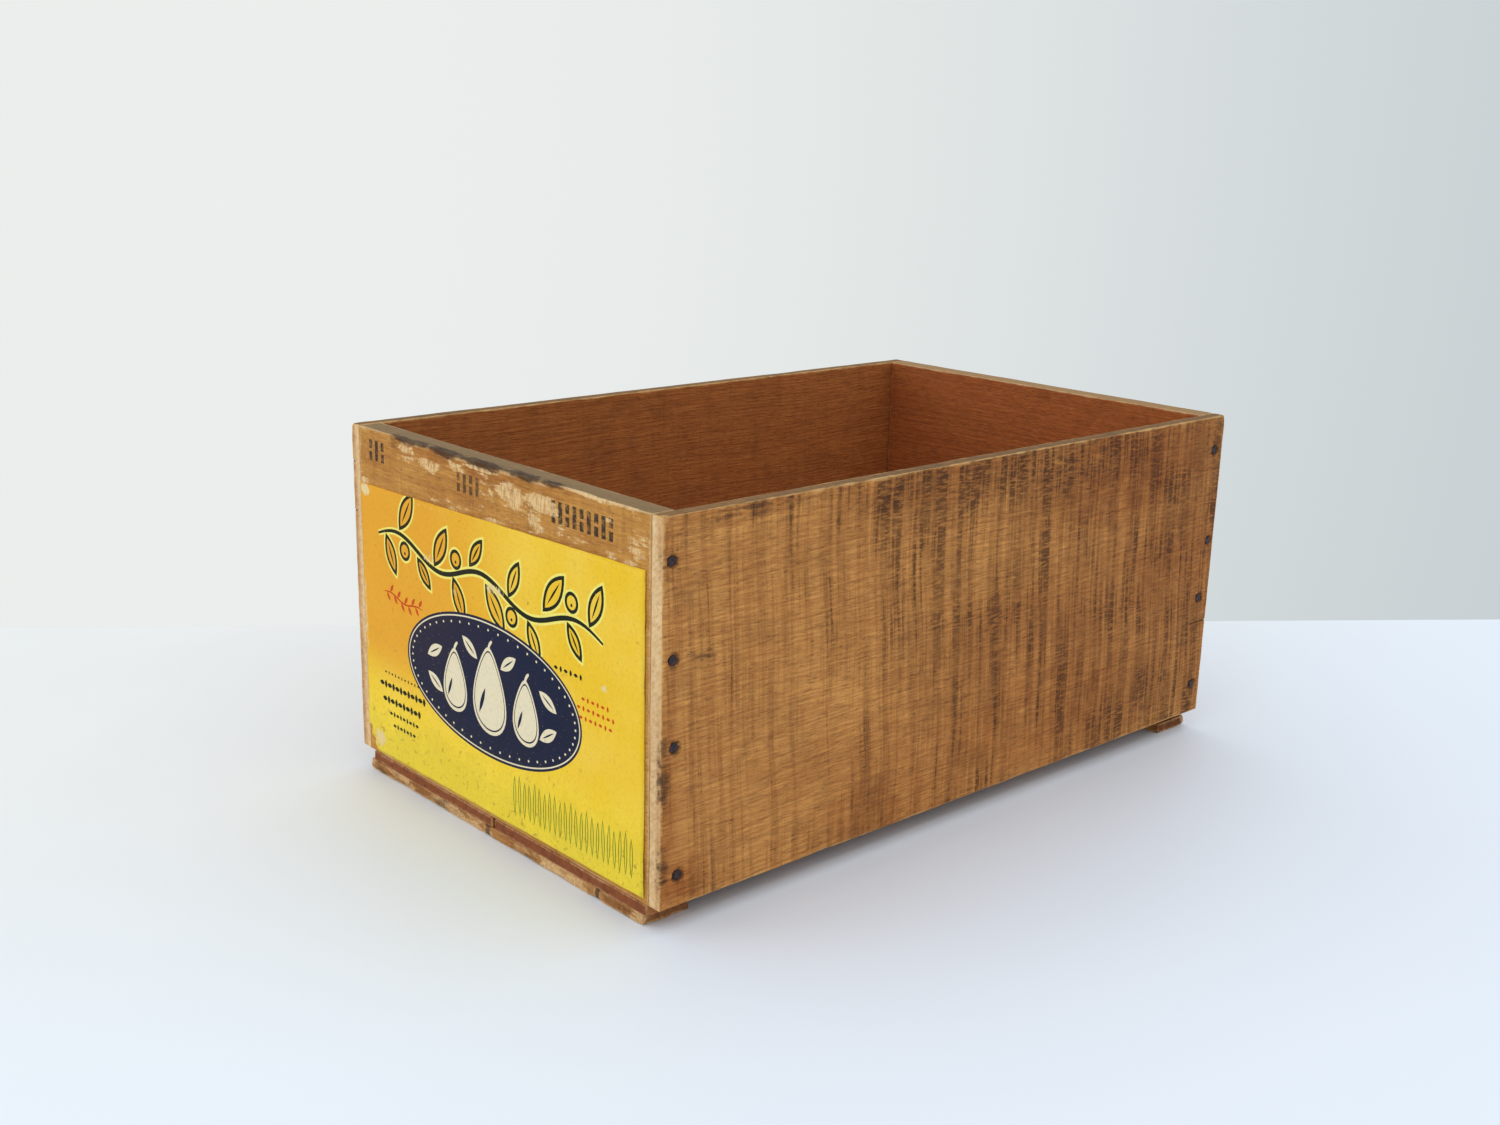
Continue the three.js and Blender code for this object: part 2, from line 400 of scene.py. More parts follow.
class SawStreaks(Effect):
    """Dark marks that a saw left across the grain, with the grooves that hold them."""

    name = "saw_streaks"
    inputs = {"Place": (0.0, 0.0, 0.0), "Slant": 0.05, "Cover": 0.5}
    outputs = ("Streak", "Tint", "Groove")

    SWAY = (0.004, 0.01, 0.01)
    SWAY_REACH = 7.0
    BROAD_MARKS = (0.11, 0.0045, 0.01)
    FINE_MARKS = (0.33, 0.012, 0.02)
    FINE_SHARE = 0.58
    BREAKS = (0.16, 0.8, 0.8)
    CLOUDS = (0.02, 0.026, 0.03)
    BARE_LEVEL, COVER_DROP = 0.585, 0.16
    MARK_SOFTNESS = 0.11

    @classmethod
    def build(cls, graph: Graph, given: Sockets) -> dict[str, Socket]:
        """Draws long marks across the board, broken up by the fibres that they cross."""
        place = given["Place"]
        along, across, deep = graph.split(place)
        sway = graph.noise(graph.stretch(place, *cls.SWAY), detail=1.0).outputs[0]
        slanted = graph.times_plus(across, given["Slant"], along)
        lane = graph.join(graph.times_plus(sway, cls.SWAY_REACH, slanted), across, deep)
        broad = graph.noise(graph.stretch(lane, *cls.BROAD_MARKS), detail=1.0).outputs[0]
        fine = graph.noise(graph.stretch(lane, *cls.FINE_MARKS), detail=3.0, roughness=0.6).outputs[0]
        both = graph.times_plus(graph.minus(fine, broad), cls.FINE_SHARE, broad)
        low = graph.times_plus(given["Cover"], -cls.COVER_DROP, cls.BARE_LEVEL)
        mark = graph.step(both, low, graph.plus(low, cls.MARK_SOFTNESS))
        broken = graph.noise(graph.stretch(place, *cls.BREAKS), detail=3.0, roughness=0.6).outputs[0]
        gaps = graph.step(broken, 0.36, 0.56, 0.2, 1.0)
        beside = graph.step(both, graph.minus(low, 0.09), graph.plus(low, 0.02))
        dashes = graph.times(graph.step(broken, 0.55, 0.68, 0.0, 0.75), beside)
        clouds = graph.noise(graph.stretch(place, *cls.CLOUDS), detail=3.0, roughness=0.6).outputs[0]
        zone = graph.step(clouds, 0.34, 0.6, 0.45, 1.0)
        streak = graph.times(graph.maths("MAXIMUM", graph.times(mark, gaps), dashes), zone)
        return {"Streak": streak, "Tint": graph.step(both, graph.minus(low, 0.1), low),
                "Groove": graph.step(fine, 0.35, 0.7)}


class Blotches(Effect):
    """Soft irregular patches with ragged rims, as dirt, damp or rust leaves."""

    name = "blotches"
    inputs = {"Place": (0.0, 0.0, 0.0), "Size": 30.0, "Low": 0.45, "High": 0.7}
    outputs = ("Patch",)

    @classmethod
    def build(cls, graph: Graph, given: Sockets) -> dict[str, Socket]:
        """Cuts one layered noise between two levels."""
        scale = graph.maths("DIVIDE", 1.0, given["Size"])
        patch = graph.noise(given["Place"], scale, 5.0, 0.62, 0.4).outputs[0]
        return {"Patch": graph.step(patch, given["Low"], given["High"])}

    @classmethod
    def patches(cls, graph: Graph, place: Socket, size: float, low: float, high: float) -> Socket:
        """Places the effect and gives its patches."""
        return cls.place(graph, Place=place, Size=size, Low=low, High=high)["Patch"]


class Wear(Effect):
    """Turns a soft painted-on mask into one with a ragged, fibrous rim."""

    name = "ragged_wear"
    inputs = {"Place": (0.0, 0.0, 0.0), "Amount": 0.0, "Grain Size": 3.0, "Softness": 0.25,
              "Raggedness": 1.0}
    outputs = ("Mask",)

    FIBRES = (0.3, 1.0, 1.0)
    LEAST_AMOUNT = 0.15

    @classmethod
    def build(cls, graph: Graph, given: Sockets) -> dict[str, Socket]:
        """Shifts the mask by a fibrous noise and cuts it again."""
        scale = graph.maths("DIVIDE", 1.0, given["Grain Size"])
        rough = graph.noise(graph.stretch(given["Place"], *cls.FIBRES), scale, 4.0, 0.65).outputs[0]
        shift = graph.times(graph.minus(rough, 0.5), given["Raggedness"])
        shifted = graph.plus(given["Amount"], shift)
        cut = graph.step(shifted, graph.minus(0.5, given["Softness"]), graph.plus(0.5, given["Softness"]))
        present = graph.step(given["Amount"], 0.0, cls.LEAST_AMOUNT)
        return {"Mask": graph.times(cut, present)}


class StampedBars(Effect):
    """A short row of upright bars, every other one in two pieces, as a rubber stamp leaves them."""

    name = "stamped_bars"
    inputs = {"Across": 0.0, "Up": 0.0, "Left": 0.0, "Width": 20.0, "Base": 0.0, "Height": 12.0,
              "Pitch": 5.0, "Bar Share": 0.5}
    outputs = ("Mask",)

    HALF_GAP = 0.07

    @classmethod
    def build(cls, graph: Graph, given: Sockets) -> dict[str, Socket]:
        """Repeats a bar at the pitch inside a rectangle."""
        from_left = graph.minus(given["Across"], given["Left"])
        from_base = graph.minus(given["Up"], given["Base"])
        count = graph.maths("DIVIDE", from_left, given["Pitch"])
        bar = graph.maths("LESS_THAN", graph.maths("FRACT", count), given["Bar Share"])
        right_of = graph.maths("GREATER_THAN", from_left, 0.0)
        left_of = graph.maths("LESS_THAN", from_left, given["Width"])
        above = graph.maths("GREATER_THAN", from_base, 0.0)
        below = graph.maths("LESS_THAN", from_base, given["Height"])
        inside = graph.times(graph.times(right_of, left_of), graph.times(above, below))
        height_share = graph.maths("DIVIDE", from_base, given["Height"])
        off_middle = graph.maths("ABSOLUTE", graph.minus(height_share, 0.5))
        is_odd = graph.maths("MODULO", graph.maths("FLOOR", count), 2.0)
        whole = graph.maths("MAXIMUM", graph.maths("GREATER_THAN", off_middle, cls.HALF_GAP), is_odd)
        return {"Mask": graph.times(graph.times(bar, inside), whole)}


def new_material(name: str) -> tuple[bpy.types.Material, Graph, bpy.types.Node]:
    """Makes an empty material with its surface shader.

    Args:
        name: the material's name.

    Returns:
        The material, its graph and its Principled node.
    """
    material = bpy.data.materials.new(name)
    material.use_nodes = True
    tree = material.node_tree
    tree.nodes.clear()
    output = tree.nodes.new("ShaderNodeOutputMaterial")
    shader = tree.nodes.new("ShaderNodeBsdfPrincipled")
    tree.links.new(shader.outputs[0], output.inputs["Surface"])
    return material, Graph(tree), shader


# Finishes


@dataclass(frozen=True)
class Stamp:
    """One inked row of bars on the front end panel, in millimetres on that panel's face."""

    left: float
    width: float
    base: float
    height: float
    pitch: float
    bar_share: float
    strength: float


@dataclass(frozen=True)
class Figure:
    """What a board's colour is drawn from: places on the board, painted masks and effects."""

    graph: Graph
    place: Socket
    painted: dict[str, Socket]
    rings: Sockets
    fibre: Sockets
    saw: Sockets


@dataclass(frozen=True)
class WoodFinish:
    """The look of one kind of bare old board. Colours are linear; lengths are in millimetres."""

    slot: str
    early: Colour
    late: Colour
    streak: Colour
    grime: Colour
    worn: Colour
    end_grain: Colour
    end_dark: Colour
    # inside: the multiply colour of the inner faces, partly the wood's own tone and partly painted shade
    inside: Colour
    rim: Colour
    tone: Colour = srgb(208, 178, 156)
    residue: Colour = srgb(248, 212, 154)
    ring_width: float = 2.6
    pith_deep: float = -90.0
    wander: float = 26.0
    ring_strength: float = 0.5
    fibre_strength: float = 0.6
    hair_strength: float = 0.36
    streak_strength: float = 0.8
    slant: float = 0.05
    fibre_relief: float = 0.16
    saw_relief: float = 0.12
    roughness: float = 0.78
    stamps: tuple[Stamp, ...] = ()

    LOG_STEP = 613.0
    PITH_STEP, PITH_START = 7.0, -30.0
    INK = srgb(38, 32, 30)
    RING_TONE = 0.22
    MOTTLE = 0.3
    INSIDE_SHADE_SHARE = 0.8
    INSIDE_SHELTER = 0.85
    SAW_TINT = 0.42
    END_RINGS, END_PITS = 0.22, 0.6
    BROAD_CHANGE = 0.22
    CLOUDED_GRIME = 0.22
    SPECKS = 0.45
    RIM_DEPTH, ARRIS_DEPTH, STAIN_DEPTH = 0.8, 0.6, 0.85
    INK_BLEED = 0.9

    def material(self, name: str, axes: Axes, middle: Vector, seed: float) -> bpy.types.Material:
        """Makes the board's own material.

        Args:
            name: the material's name.
            axes: the crate's directions along, across and through the board.
            middle: the board's middle, in metres.
            seed: a number that gives the board its own figure.

        Returns:
            The finished material.
        """
        material, graph, shader = new_material(name)
        place = self.board_place(graph, axes, middle, seed)
        painted = {name: graph.painted(name) for name in Board.MASKS}
        rings = GrowthRings.place(graph, Place=place, Pith_Across=seed * self.PITH_STEP + self.PITH_START,
                                  Pith_Deep=self.pith_deep, Ring_Width=self.ring_width, Wander=self.wander)
        fibre = WoodFibre.place(graph, Place=place)
        saw = SawStreaks.place(graph, Place=place, Slant=self.slant, Cover=painted["cover"])
        figure = Figure(graph, place, painted, rings, fibre, saw)
        graph.set(shader.inputs["Base Color"], self.aged_colour(figure, self.face_colour(figure)))
        rough = graph.times_plus(fibre["Fibre"], 0.12, self.roughness - 0.06)
        graph.set(shader.inputs["Roughness"], graph.minus(rough, graph.times(painted["wear"], 0.08)))
        shader.inputs["Specular IOR Level"].default_value = 0.2
        self.relief(figure, shader)
        return material

    def board_place(self, graph: Graph, axes: Axes, middle: Vector, seed: float) -> Socket:
        """Gives each point's place on the board in millimetres: along, across and through it.

        Args:
            graph: the material's tree.
            axes: the crate's directions along, across and through the board.
            middle: the board's middle, in metres.
            seed: a number that moves the board's figure along the log.

        Returns:
            The place's socket.
        """
        point = graph.add("TexCoord").outputs["Object"]
        from_middle = graph.add("VectorMath", {0: point, 1: tuple(middle)}, operation="SUBTRACT").outputs[0]
        parts = graph.split(graph.in_millimetres(from_middle))
        joined = graph.join(*(parts[axis.value] for axis in axes))
        on_log = (seed * self.LOG_STEP, 0.0, 0.0)
        return graph.add("VectorMath", {0: joined, 1: on_log}, operation="ADD").outputs[0]

    def face_colour(self, figure: Figure) -> Socket:
        """Colours sound wood: early and late wood, fibres, pores and the marks of the saw; the inner faces
        are made darker and redder, partly the wood's own tone and partly painted shade.

        Args:
            figure: the board's figure.

        Returns:
            The colour's socket.
        """
        graph, place, painted = figure.graph, figure.place, figure.painted
        rings, fibre, saw = figure.rings, figure.fibre, figure.saw
        tone = graph.times(rings["Ring Tone"], self.RING_TONE * self.ring_strength)
        late = graph.times_plus(rings["Late Wood"], self.ring_strength, tone)
        colour = graph.mix(late, self.early, self.late)
        dark_fibre = graph.times(graph.minus(1.0, fibre["Fibre"]), self.fibre_strength)
        colour = graph.mix(dark_fibre, colour, self.late)
        mottle = Blotches.patches(graph, place, 9.0, 0.42, 0.66)
        colour = graph.mix(graph.times(mottle, self.MOTTLE * self.fibre_strength), colour, self.late)
        colour = graph.mix(graph.times(fibre["Pale Hair"], self.hair_strength), colour, self.worn)
        dark_hair = graph.times(fibre["Dark Hair"], self.hair_strength)
        colour = graph.mix(dark_hair, colour, self.streak)
        # painted shade: the inner faces are multiplied darker and redder, partly the wood's own tone
        shaded_inside = graph.mix(self.INSIDE_SHADE_SHARE, colour, self.inside, "MULTIPLY")
        colour = graph.mix(painted["inside"], colour, shaded_inside)
        outside = graph.times_plus(painted["inside"], -self.INSIDE_SHELTER, 1.0)
        outside = graph.times(outside, self.streak_strength)
        tint = graph.times(graph.times(saw["Tint"], outside), self.SAW_TINT)
        colour = graph.mix(tint, colour, self.late)
        colour = graph.mix(graph.times(saw["Streak"], outside), colour, self.streak)
        pores = graph.times(fibre["Pores"], self.hair_strength)
        colour = graph.mix(pores, colour, self.streak)
        pitted = Blotches.patches(graph, place, 3.5, 0.4, 0.7)
        ends = graph.times_plus(rings["Late Wood"], self.END_RINGS, graph.times(pitted, self.END_PITS))
        # The floor boards' and cleats' end-grain colours are dark painted shade, not their wood's own end
        # grain.
        end_colour = graph.mix(ends, self.end_grain, self.end_dark)
        return graph.mix(painted["end"], colour, end_colour)

    def aged_colour(self, figure: Figure, colour: Socket) -> Socket:
        """Lays age over the wood: broad tone changes, grime, stains, worn arrises, rubbed patches.

        Args:
            figure: the board's figure.
            colour: the sound wood's colour.

        Returns:
            The colour's socket.
        """
        graph, place, painted = figure.graph, figure.place, figure.painted
        broad = Blotches.patches(graph, place, 150.0, 0.35, 0.7)
        colour = graph.mix(graph.times(broad, self.BROAD_CHANGE), colour, self.late)
        cloud = Blotches.patches(graph, place, 26.0, 0.5, 0.72)
        colour = graph.mix(graph.times(cloud, self.CLOUDED_GRIME), colour, self.grime)
        uneven = Blotches.patches(graph, place, 12.0, 0.3, 0.62)
        toned = graph.times(painted["tone"], graph.times_plus(uneven, 0.5, 0.5))
        colour = graph.mix(toned, colour, graph.mix(1.0, colour, self.tone, "MULTIPLY"))
        specks = Blotches.patches(graph, place, 2.2, 0.68, 0.76)
        colour = graph.mix(graph.times(specks, self.SPECKS), colour, self.streak)
        rim = Wear.place(graph, Place=place, Amount=painted["rim"], Grain_Size=4.0, Softness=0.45)["Mask"]
        colour = graph.mix(graph.times(rim, self.RIM_DEPTH), colour, self.rim)
        for stamp in self.stamps:
            mask = self.stamp_mask(figure, stamp)
            colour = graph.mix(graph.times(mask, stamp.strength), colour, self.INK)
        scuff = Wear.place(graph, Place=place, Amount=painted["scuff"], Grain_Size=5.0, Softness=0.14,
                           Raggedness=2.6)["Mask"]
        drips = graph.noise(graph.stretch(place, 0.7, 0.2, 0.7), detail=4.0, roughness=0.68).outputs[0]
        scuff = graph.times(scuff, graph.step(drips, 0.34, 0.62, 0.15, 0.85))
        colour = graph.mix(scuff, colour, self.residue)
        arris = Wear.place(graph, Place=place, Amount=painted["wear"], Grain_Size=3.0, Softness=0.2)["Mask"]
        colour = graph.mix(graph.times(arris, self.ARRIS_DEPTH), colour, self.worn)
        stain = Wear.place(graph, Place=place, Amount=painted["stain"], Grain_Size=4.5, Softness=0.28,
                           Raggedness=2.0)["Mask"]
        return graph.mix(graph.times(stain, self.STAIN_DEPTH), colour, self.grime)

    def stamp_mask(self, figure: Figure, stamp: Stamp) -> Socket:
        """Gives where one stamp's ink took on the fibres.

        Args:
            figure: the board's figure.
            stamp: the stamp's place and bars.

        Returns:
            The ink mask's socket.
        """
        graph, place = figure.graph, figure.place
        x, _, z = graph.split(graph.add("TexCoord").outputs["Object"])
        bleed = graph.noise(place, 0.9, 2.0).outputs[0]
        shift = graph.times_plus(bleed, self.INK_BLEED, -self.INK_BLEED / 2)
        across = graph.times_plus(x, 1 / MM, shift)
        up = graph.times_plus(z, 1 / MM, shift)
        bars = StampedBars.place(graph, Across=across, Up=up, Left=stamp.left, Width=stamp.width,
                                 Base=stamp.base, Height=stamp.height, Pitch=stamp.pitch,
                                 Bar_Share=stamp.bar_share)["Mask"]
        took = graph.step(graph.noise(place, 0.3, 4.0, 0.6).outputs[0], 0.3, 0.52, 0.3, 1.0)
        outside = graph.minus(1.0, figure.painted["inside"])
        return graph.times(graph.times(bars, took), outside)

    def relief(self, figure: Figure, shader: bpy.types.Node) -> None:
        """Raises late wood and fibres and sinks the saw's grooves, in millimetres of height.

        Args:
            figure: the board's figure.
            shader: the surface shader.
        """
        graph, fibre = figure.graph, figure.fibre
        height = graph.times(fibre["Fibre"], self.fibre_relief)
        height = graph.times_plus(fibre["Pale Hair"], self.fibre_relief * 0.6, height)
        height = graph.times_plus(fibre["Dark Hair"], -self.fibre_relief * 0.6, height)
        height = graph.times_plus(figure.rings["Late Wood"], self.fibre_relief * 0.8, height)
        height = graph.times_plus(fibre["Pores"], -self.fibre_relief * 0.8, height)
        outside = graph.times_plus(figure.painted["inside"], -0.8, 1.0)
        sawn = graph.times(graph.times(figure.saw["Groove"], outside), -self.saw_relief)
        height = graph.plus(height, sawn)
        bump = graph.add("Bump", {"Height": height, "Strength": 1.0, "Distance": MM})
        graph.set(shader.inputs["Normal"], bump.outputs[0])


@dataclass(frozen=True)
class PaperFinish:
    """The pasted sheet: aged paper with letterpress inks, rubbed through in places."""

    slot: str = "label_paper"
    fibre: Colour = srgb(232, 206, 150)
    fox: Colour = srgb(150, 95, 30)
    fade: Colour = srgb(251, 214, 88)
    orange: Colour = srgb(230, 146, 8)
    lemon: Colour = srgb(255, 231, 58)
    olive: Colour = srgb(126, 118, 26)
    inks: tuple[tuple[Ink, Colour], ...] = (
        (Ink.PAPER, srgb(243, 196, 26)),
        (Ink.PALE, srgb(247, 232, 118)),
        (Ink.NAVY, srgb(20, 29, 58)),
        (Ink.CREAM, srgb(235, 222, 190)),
        (Ink.BLACK, srgb(22, 30, 18)),
        (Ink.RED, srgb(205, 72, 25)),
        (Ink.GREEN, srgb(112, 132, 34)),
    )

    FADE_SHARE, OLIVE_SHARE, GRAIN_SHARE, FOX_SHARE = 0.45, 0.16, 0.2, 0.55

    def materials(self) -> list[bpy.types.Material]:
        """Makes one material for each ink, in the order of the inks."""
        return [self.material(ink, colour) for ink, colour in self.inks]

    def material(self, ink: Ink, colour: Colour) -> bpy.types.Material:
        """Makes one ink's material.

        Args:
            ink: which ink it is.
            colour: the fresh ink's colour.

        Returns:
            The finished material.
        """
        material, graph, shader = new_material("label_" + ink.value)
        place = graph.in_millimetres(graph.add("TexCoord").outputs["Object"])
        scuff, aged, damp = (graph.painted(name) for name in PaperLabel.MASKS)
        aging = AgedPaper.place(graph, Place=place, Scuff=scuff, Age=aged, Damp=damp)
        tone = graph.mix(graph.times(aging["Fade"], self.FADE_SHARE), colour, self.faded(ink, colour))
        warm = graph.mix(graph.times(aging["Warm"], self.warmth(ink)), tone, self.orange)
        lemon = graph.mix(graph.times(aging["Lemon"], self.warmth(ink)), warm, self.lemon)
        stained = self.stained(ink)
        olive = graph.mix(graph.times(aging["Olive"], self.OLIVE_SHARE * stained), lemon, self.olive)
        grained = graph.mix(graph.times(aging["Grain"], self.GRAIN_SHARE * stained), olive, self.fox)
        foxed = graph.mix(graph.times(aging["Fox"], self.FOX_SHARE * stained), grained, self.fox)
        bare = graph.mix(aging["Worn Ink"], foxed, self.fibre)
        graph.set(shader.inputs["Base Color"], bare)
        rough = graph.times_plus(aging["Worn Ink"], 0.3, 0.46)
        graph.set(shader.inputs["Roughness"], graph.times_plus(aging["Fade"], 0.08, rough))
        shader.inputs["Specular IOR Level"].default_value = 0.18 if ink is Ink.PAPER else 0.06
        bump = graph.add("Bump", {"Height": aging["Height"], "Strength": 0.6, "Distance": MM})
        graph.set(shader.inputs["Normal"], bump.outputs[0])
        return material

    def faded(self, ink: Ink, colour: Colour) -> Colour:
        """Gives the colour that an ink fades to."""
        if ink is Ink.PAPER:
            return self.fade
        return tuple(0.985 * part + 0.015 * pale for part, pale in zip(colour, self.fade))

    def stained(self, ink: Ink) -> float:
        """Gives how much of the stains and specks an ink lets show."""
        return 1.0 if ink in (Ink.PAPER, Ink.PALE, Ink.CREAM) else 0.2

    def warmth(self, ink: Ink) -> float:
        """Gives how far age turns an ink towards orange or lemon."""
        return 0.7 if ink is Ink.PAPER else 0.015


class AgedPaper(Effect):
    """What years do to a printed sheet: fading, foxing, rubbed ink and raised paper fibres."""

    name = "aged_paper"
    inputs = {"Place": (0.0, 0.0, 0.0), "Scuff": 0.0, "Age": 0.5, "Damp": 0.0}
    outputs = ("Fade", "Warm", "Lemon", "Olive", "Grain", "Fox", "Worn Ink", "Height")

    @classmethod
    def build(cls, graph: Graph, given: Sockets) -> dict[str, Socket]:
        """Builds each sign of age from noises of its own size."""
        place = given["Place"]
        fade = graph.step(graph.noise(place, 0.02, 4.0, 0.6).outputs[0], 0.35, 0.68)
        drift = graph.noise(place, 0.011, 2.0).outputs[0]
        warm = graph.step(graph.times_plus(drift, 0.5, given["Age"]), 0.45, 1.1)
        clouds = graph.noise(place, 0.05, 5.0, 0.68).outputs[0]
        stained = graph.times_plus(graph.minus(clouds, 0.5), 1.6, given["Damp"])
        olive = graph.times(graph.step(stained, 0.35, 1.0), graph.step(given["Damp"], 0.0, 0.3))
        grain = graph.step(graph.noise(place, 0.5, 5.0, 0.75).outputs[0], 0.45, 0.75)
        spotted = graph.noise(place, 0.26, 4.0, 0.62, 0.6).outputs[0]
        spots = graph.step(graph.times_plus(given["Damp"], 0.05, spotted), 0.62, 0.73)
        zone = graph.step(graph.noise(place, 0.024, 2.0).outputs[0], 0.42, 0.62)
        zone = graph.maths("MAXIMUM", zone, graph.step(given["Damp"], 0.1, 0.6))
        fox = graph.times(spots, zone)
        pits = graph.step(graph.noise(place, 0.9, 3.0, 0.6).outputs[0], 0.69, 0.74)
        rubbed = graph.noise(graph.stretch(place, 1.0, 1.0, 0.45), 0.42, 5.0, 0.7, 0.5).outputs[0]
        shifted = graph.plus(given["Scuff"], graph.minus(rubbed, 0.5))
        torn = graph.step(shifted, 0.42, 0.6)
        worn = graph.maths("MAXIMUM", torn, graph.times(pits, 0.6))
        weave = graph.noise(place, 1.6, 3.0, 0.6).outputs[0]
        height = graph.times(weave, 0.05)
        height = graph.times_plus(torn, -0.08, height)
        return {"Fade": fade, "Warm": warm, "Lemon": given["Damp"], "Olive": olive, "Grain": grain,
                "Fox": fox, "Worn Ink": worn, "Height": height}


@dataclass(frozen=True)
class NailFinish:
    """Oxidised wire: blue-black scale, some rust, and bright spots where hammers hit."""

    slot: str = "nail_steel"
    scale: Colour = srgb(56, 50, 54)
    rust: Colour = srgb(102, 54, 32)
    bright: Colour = srgb(150, 150, 158)

    def material(self) -> bpy.types.Material:
        """Makes the nails' material.

        Returns:
            The finished material.
        """
        material, graph, shader = new_material("oxidised_wire")
        place = graph.in_millimetres(graph.add("TexCoord").outputs["Object"])
        rust = Blotches.patches(graph, place, 2.5, 0.48, 0.66)
        hits = Blotches.patches(graph, place, 1.3, 0.6, 0.7)
        colour = graph.mix(graph.times(rust, 0.7), self.scale, self.rust)
        colour = graph.mix(graph.times(hits, 0.6), colour, self.bright)
        graph.set(shader.inputs["Base Color"], colour)
        graph.set(shader.inputs["Metallic"], graph.times_plus(rust, -0.7, 0.85))
        rough = graph.times_plus(rust, 0.35, 0.42)
        graph.set(shader.inputs["Roughness"], graph.times_plus(hits, -0.12, rough))
        height = graph.times_plus(rust, 0.06, graph.times(hits, -0.05))
        bump = graph.add("Bump", {"Height": height, "Strength": 0.8, "Distance": MM})
        graph.set(shader.inputs["Normal"], bump.outputs[0])
        return material


# Boards


@dataclass(frozen=True)
class Patch:
    """A soft oval area on a board's face, in millimetres from the board's middle."""

    along: float
    across: float
    reach_along: float
    reach_across: float
    strength: float
    side: int = 0

    def share(self, points: np.ndarray) -> np.ndarray:
        """Gives how strongly the patch covers each point of a board.

        Args:
            points: places on the board, along, across and through it.

        Returns:
            The strength at the middle of the patch, falling to 0 at its rim.
        """
        away = ((points[:, 0] - self.along) / self.reach_along) ** 2
        away = away + ((points[:, 1] - self.across) / self.reach_across) ** 2
        cover = smooth_step(np.sqrt(away), 1.0, 0.25) * self.strength
        return cover if self.side == 0 else cover * (points[:, 2] * self.side > 0)


@dataclass(frozen=True)
class Split:
    """A crack that runs along the grain from a start to an end, in millimetres."""

    start: float
    end: float
    across: float
    side: int
    width: float = 0.5
    depth: float = 1.4


@dataclass(frozen=True)
class NailSeat:
    """Where a nail's head lies in a board, in millimetres from the board's middle."""

    along: float
    across: float
    side: int


def heads_on(middle: Vector, half: np.ndarray, axes: Axes) -> list[NailSeat]:
    """Finds the nail heads that lie in one board's faces.

    Args:
        middle: the board's middle, in metres.
        half: half the board's size along, across and through, in millimetres.
        axes: the crate's directions along, across and through the board.

    Returns:
        The seats of those heads.
    """
    seats = []
    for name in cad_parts:
        if not name.startswith(NAIL_PREFIX):
            continue
        low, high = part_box(name)
        nail = (low + high) / 2 - middle
        shank = max(range(3), key=lambda i: high[i] - low[i])
        if shank != axes[2].value:
            continue
        place = [nail[axis.value] / MM for axis in axes]
        for side in (-1, 1):
            end = (high if side > 0 else low)[shank] - middle[shank]
            near_face = abs(end / MM - side * half[2]) < HEAD_REACH
            if near_face and abs(place[0]) < half[0] and abs(place[1]) < half[1]:
                seats.append(NailSeat(place[0], place[1], side))
    return seats


def lattice_surface(lines: tuple[np.ndarray, ...]) -> tuple[np.ndarray, np.ndarray]:
    """Covers the surface of a block with quads that follow three sets of lines.

    Args:
        lines: the lines' places along, across and through the block.

    Returns:
        The points, and the four corners of each quad.
    """
    counts = tuple(len(line) for line in lines)
    shell = np.zeros(counts, bool)
    for axis in range(3):
        at_ends = [slice(None)] * 3
        at_ends[axis] = [0, -1]
        shell[tuple(at_ends)] = True
    index = np.full(counts, -1)
    index[shell] = np.arange(shell.sum())
    points = np.stack(np.meshgrid(*lines, indexing="ij"), -1)[shell]
    quads = []
    for axis in range(3):
        for end in (0, -1):
            sheet = np.take(index, end, axis=axis)
            corners = (sheet[:-1, :-1], sheet[1:, :-1], sheet[1:, 1:], sheet[:-1, 1:])
            quad = np.stack(corners, -1).reshape(-1, 4)
            outward = (end == -1) != (axis == 1)
            quads.append(quad if outward else quad[:, ::-1])
    return points, np.concatenate(quads)


def mesh_from(name: str, points: np.ndarray, faces: np.ndarray) -> bpy.types.Mesh:
    """Makes a smooth mesh from arrays.

    Args:
        name: the mesh's name.
        points: the corners, in metres.
        faces: the corner numbers of each face, all with the same count.

    Returns:
        The mesh.
    """
    mesh = bpy.data.meshes.new(name)
    count, sides = faces.shape
    mesh.vertices.add(len(points))
    mesh.vertices.foreach_set("co", points.astype(np.float32).ravel())
    mesh.loops.add(count * sides)
    mesh.loops.foreach_set("vertex_index", faces.astype(np.int32).ravel())
    mesh.polygons.add(count)
    mesh.polygons.foreach_set("loop_start", np.arange(0, count * sides, sides, dtype=np.int32))
    mesh.polygons.foreach_set("use_smooth", np.ones(count, bool))
    mesh.update(calc_edges=True)
    return mesh


def add_mask(mesh: bpy.types.Mesh, name: str, values: np.ndarray) -> None:
    """Stores one value per point on a mesh, for its material to read."""
    layer = mesh.attributes.new(name, "FLOAT", "POINT")
    layer.data.foreach_set("value", np.clip(values, 0.0, 1.0).astype(np.float32))


def add_piece(name: str, mesh: bpy.types.Mesh, node: str) -> bpy.types.Object:
    """Puts a mesh in the scene in place of its CAD node.

    Args:
        name: the piece's name.
        mesh: its mesh.
        node: the CAD node that it stands for.

    Returns:
        The piece.
    """
    piece = bpy.data.objects.new(name, mesh)
    bpy.context.scene.collection.objects.link(piece)
    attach(piece, ROOT_BODY)
    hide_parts(node)
    return piece


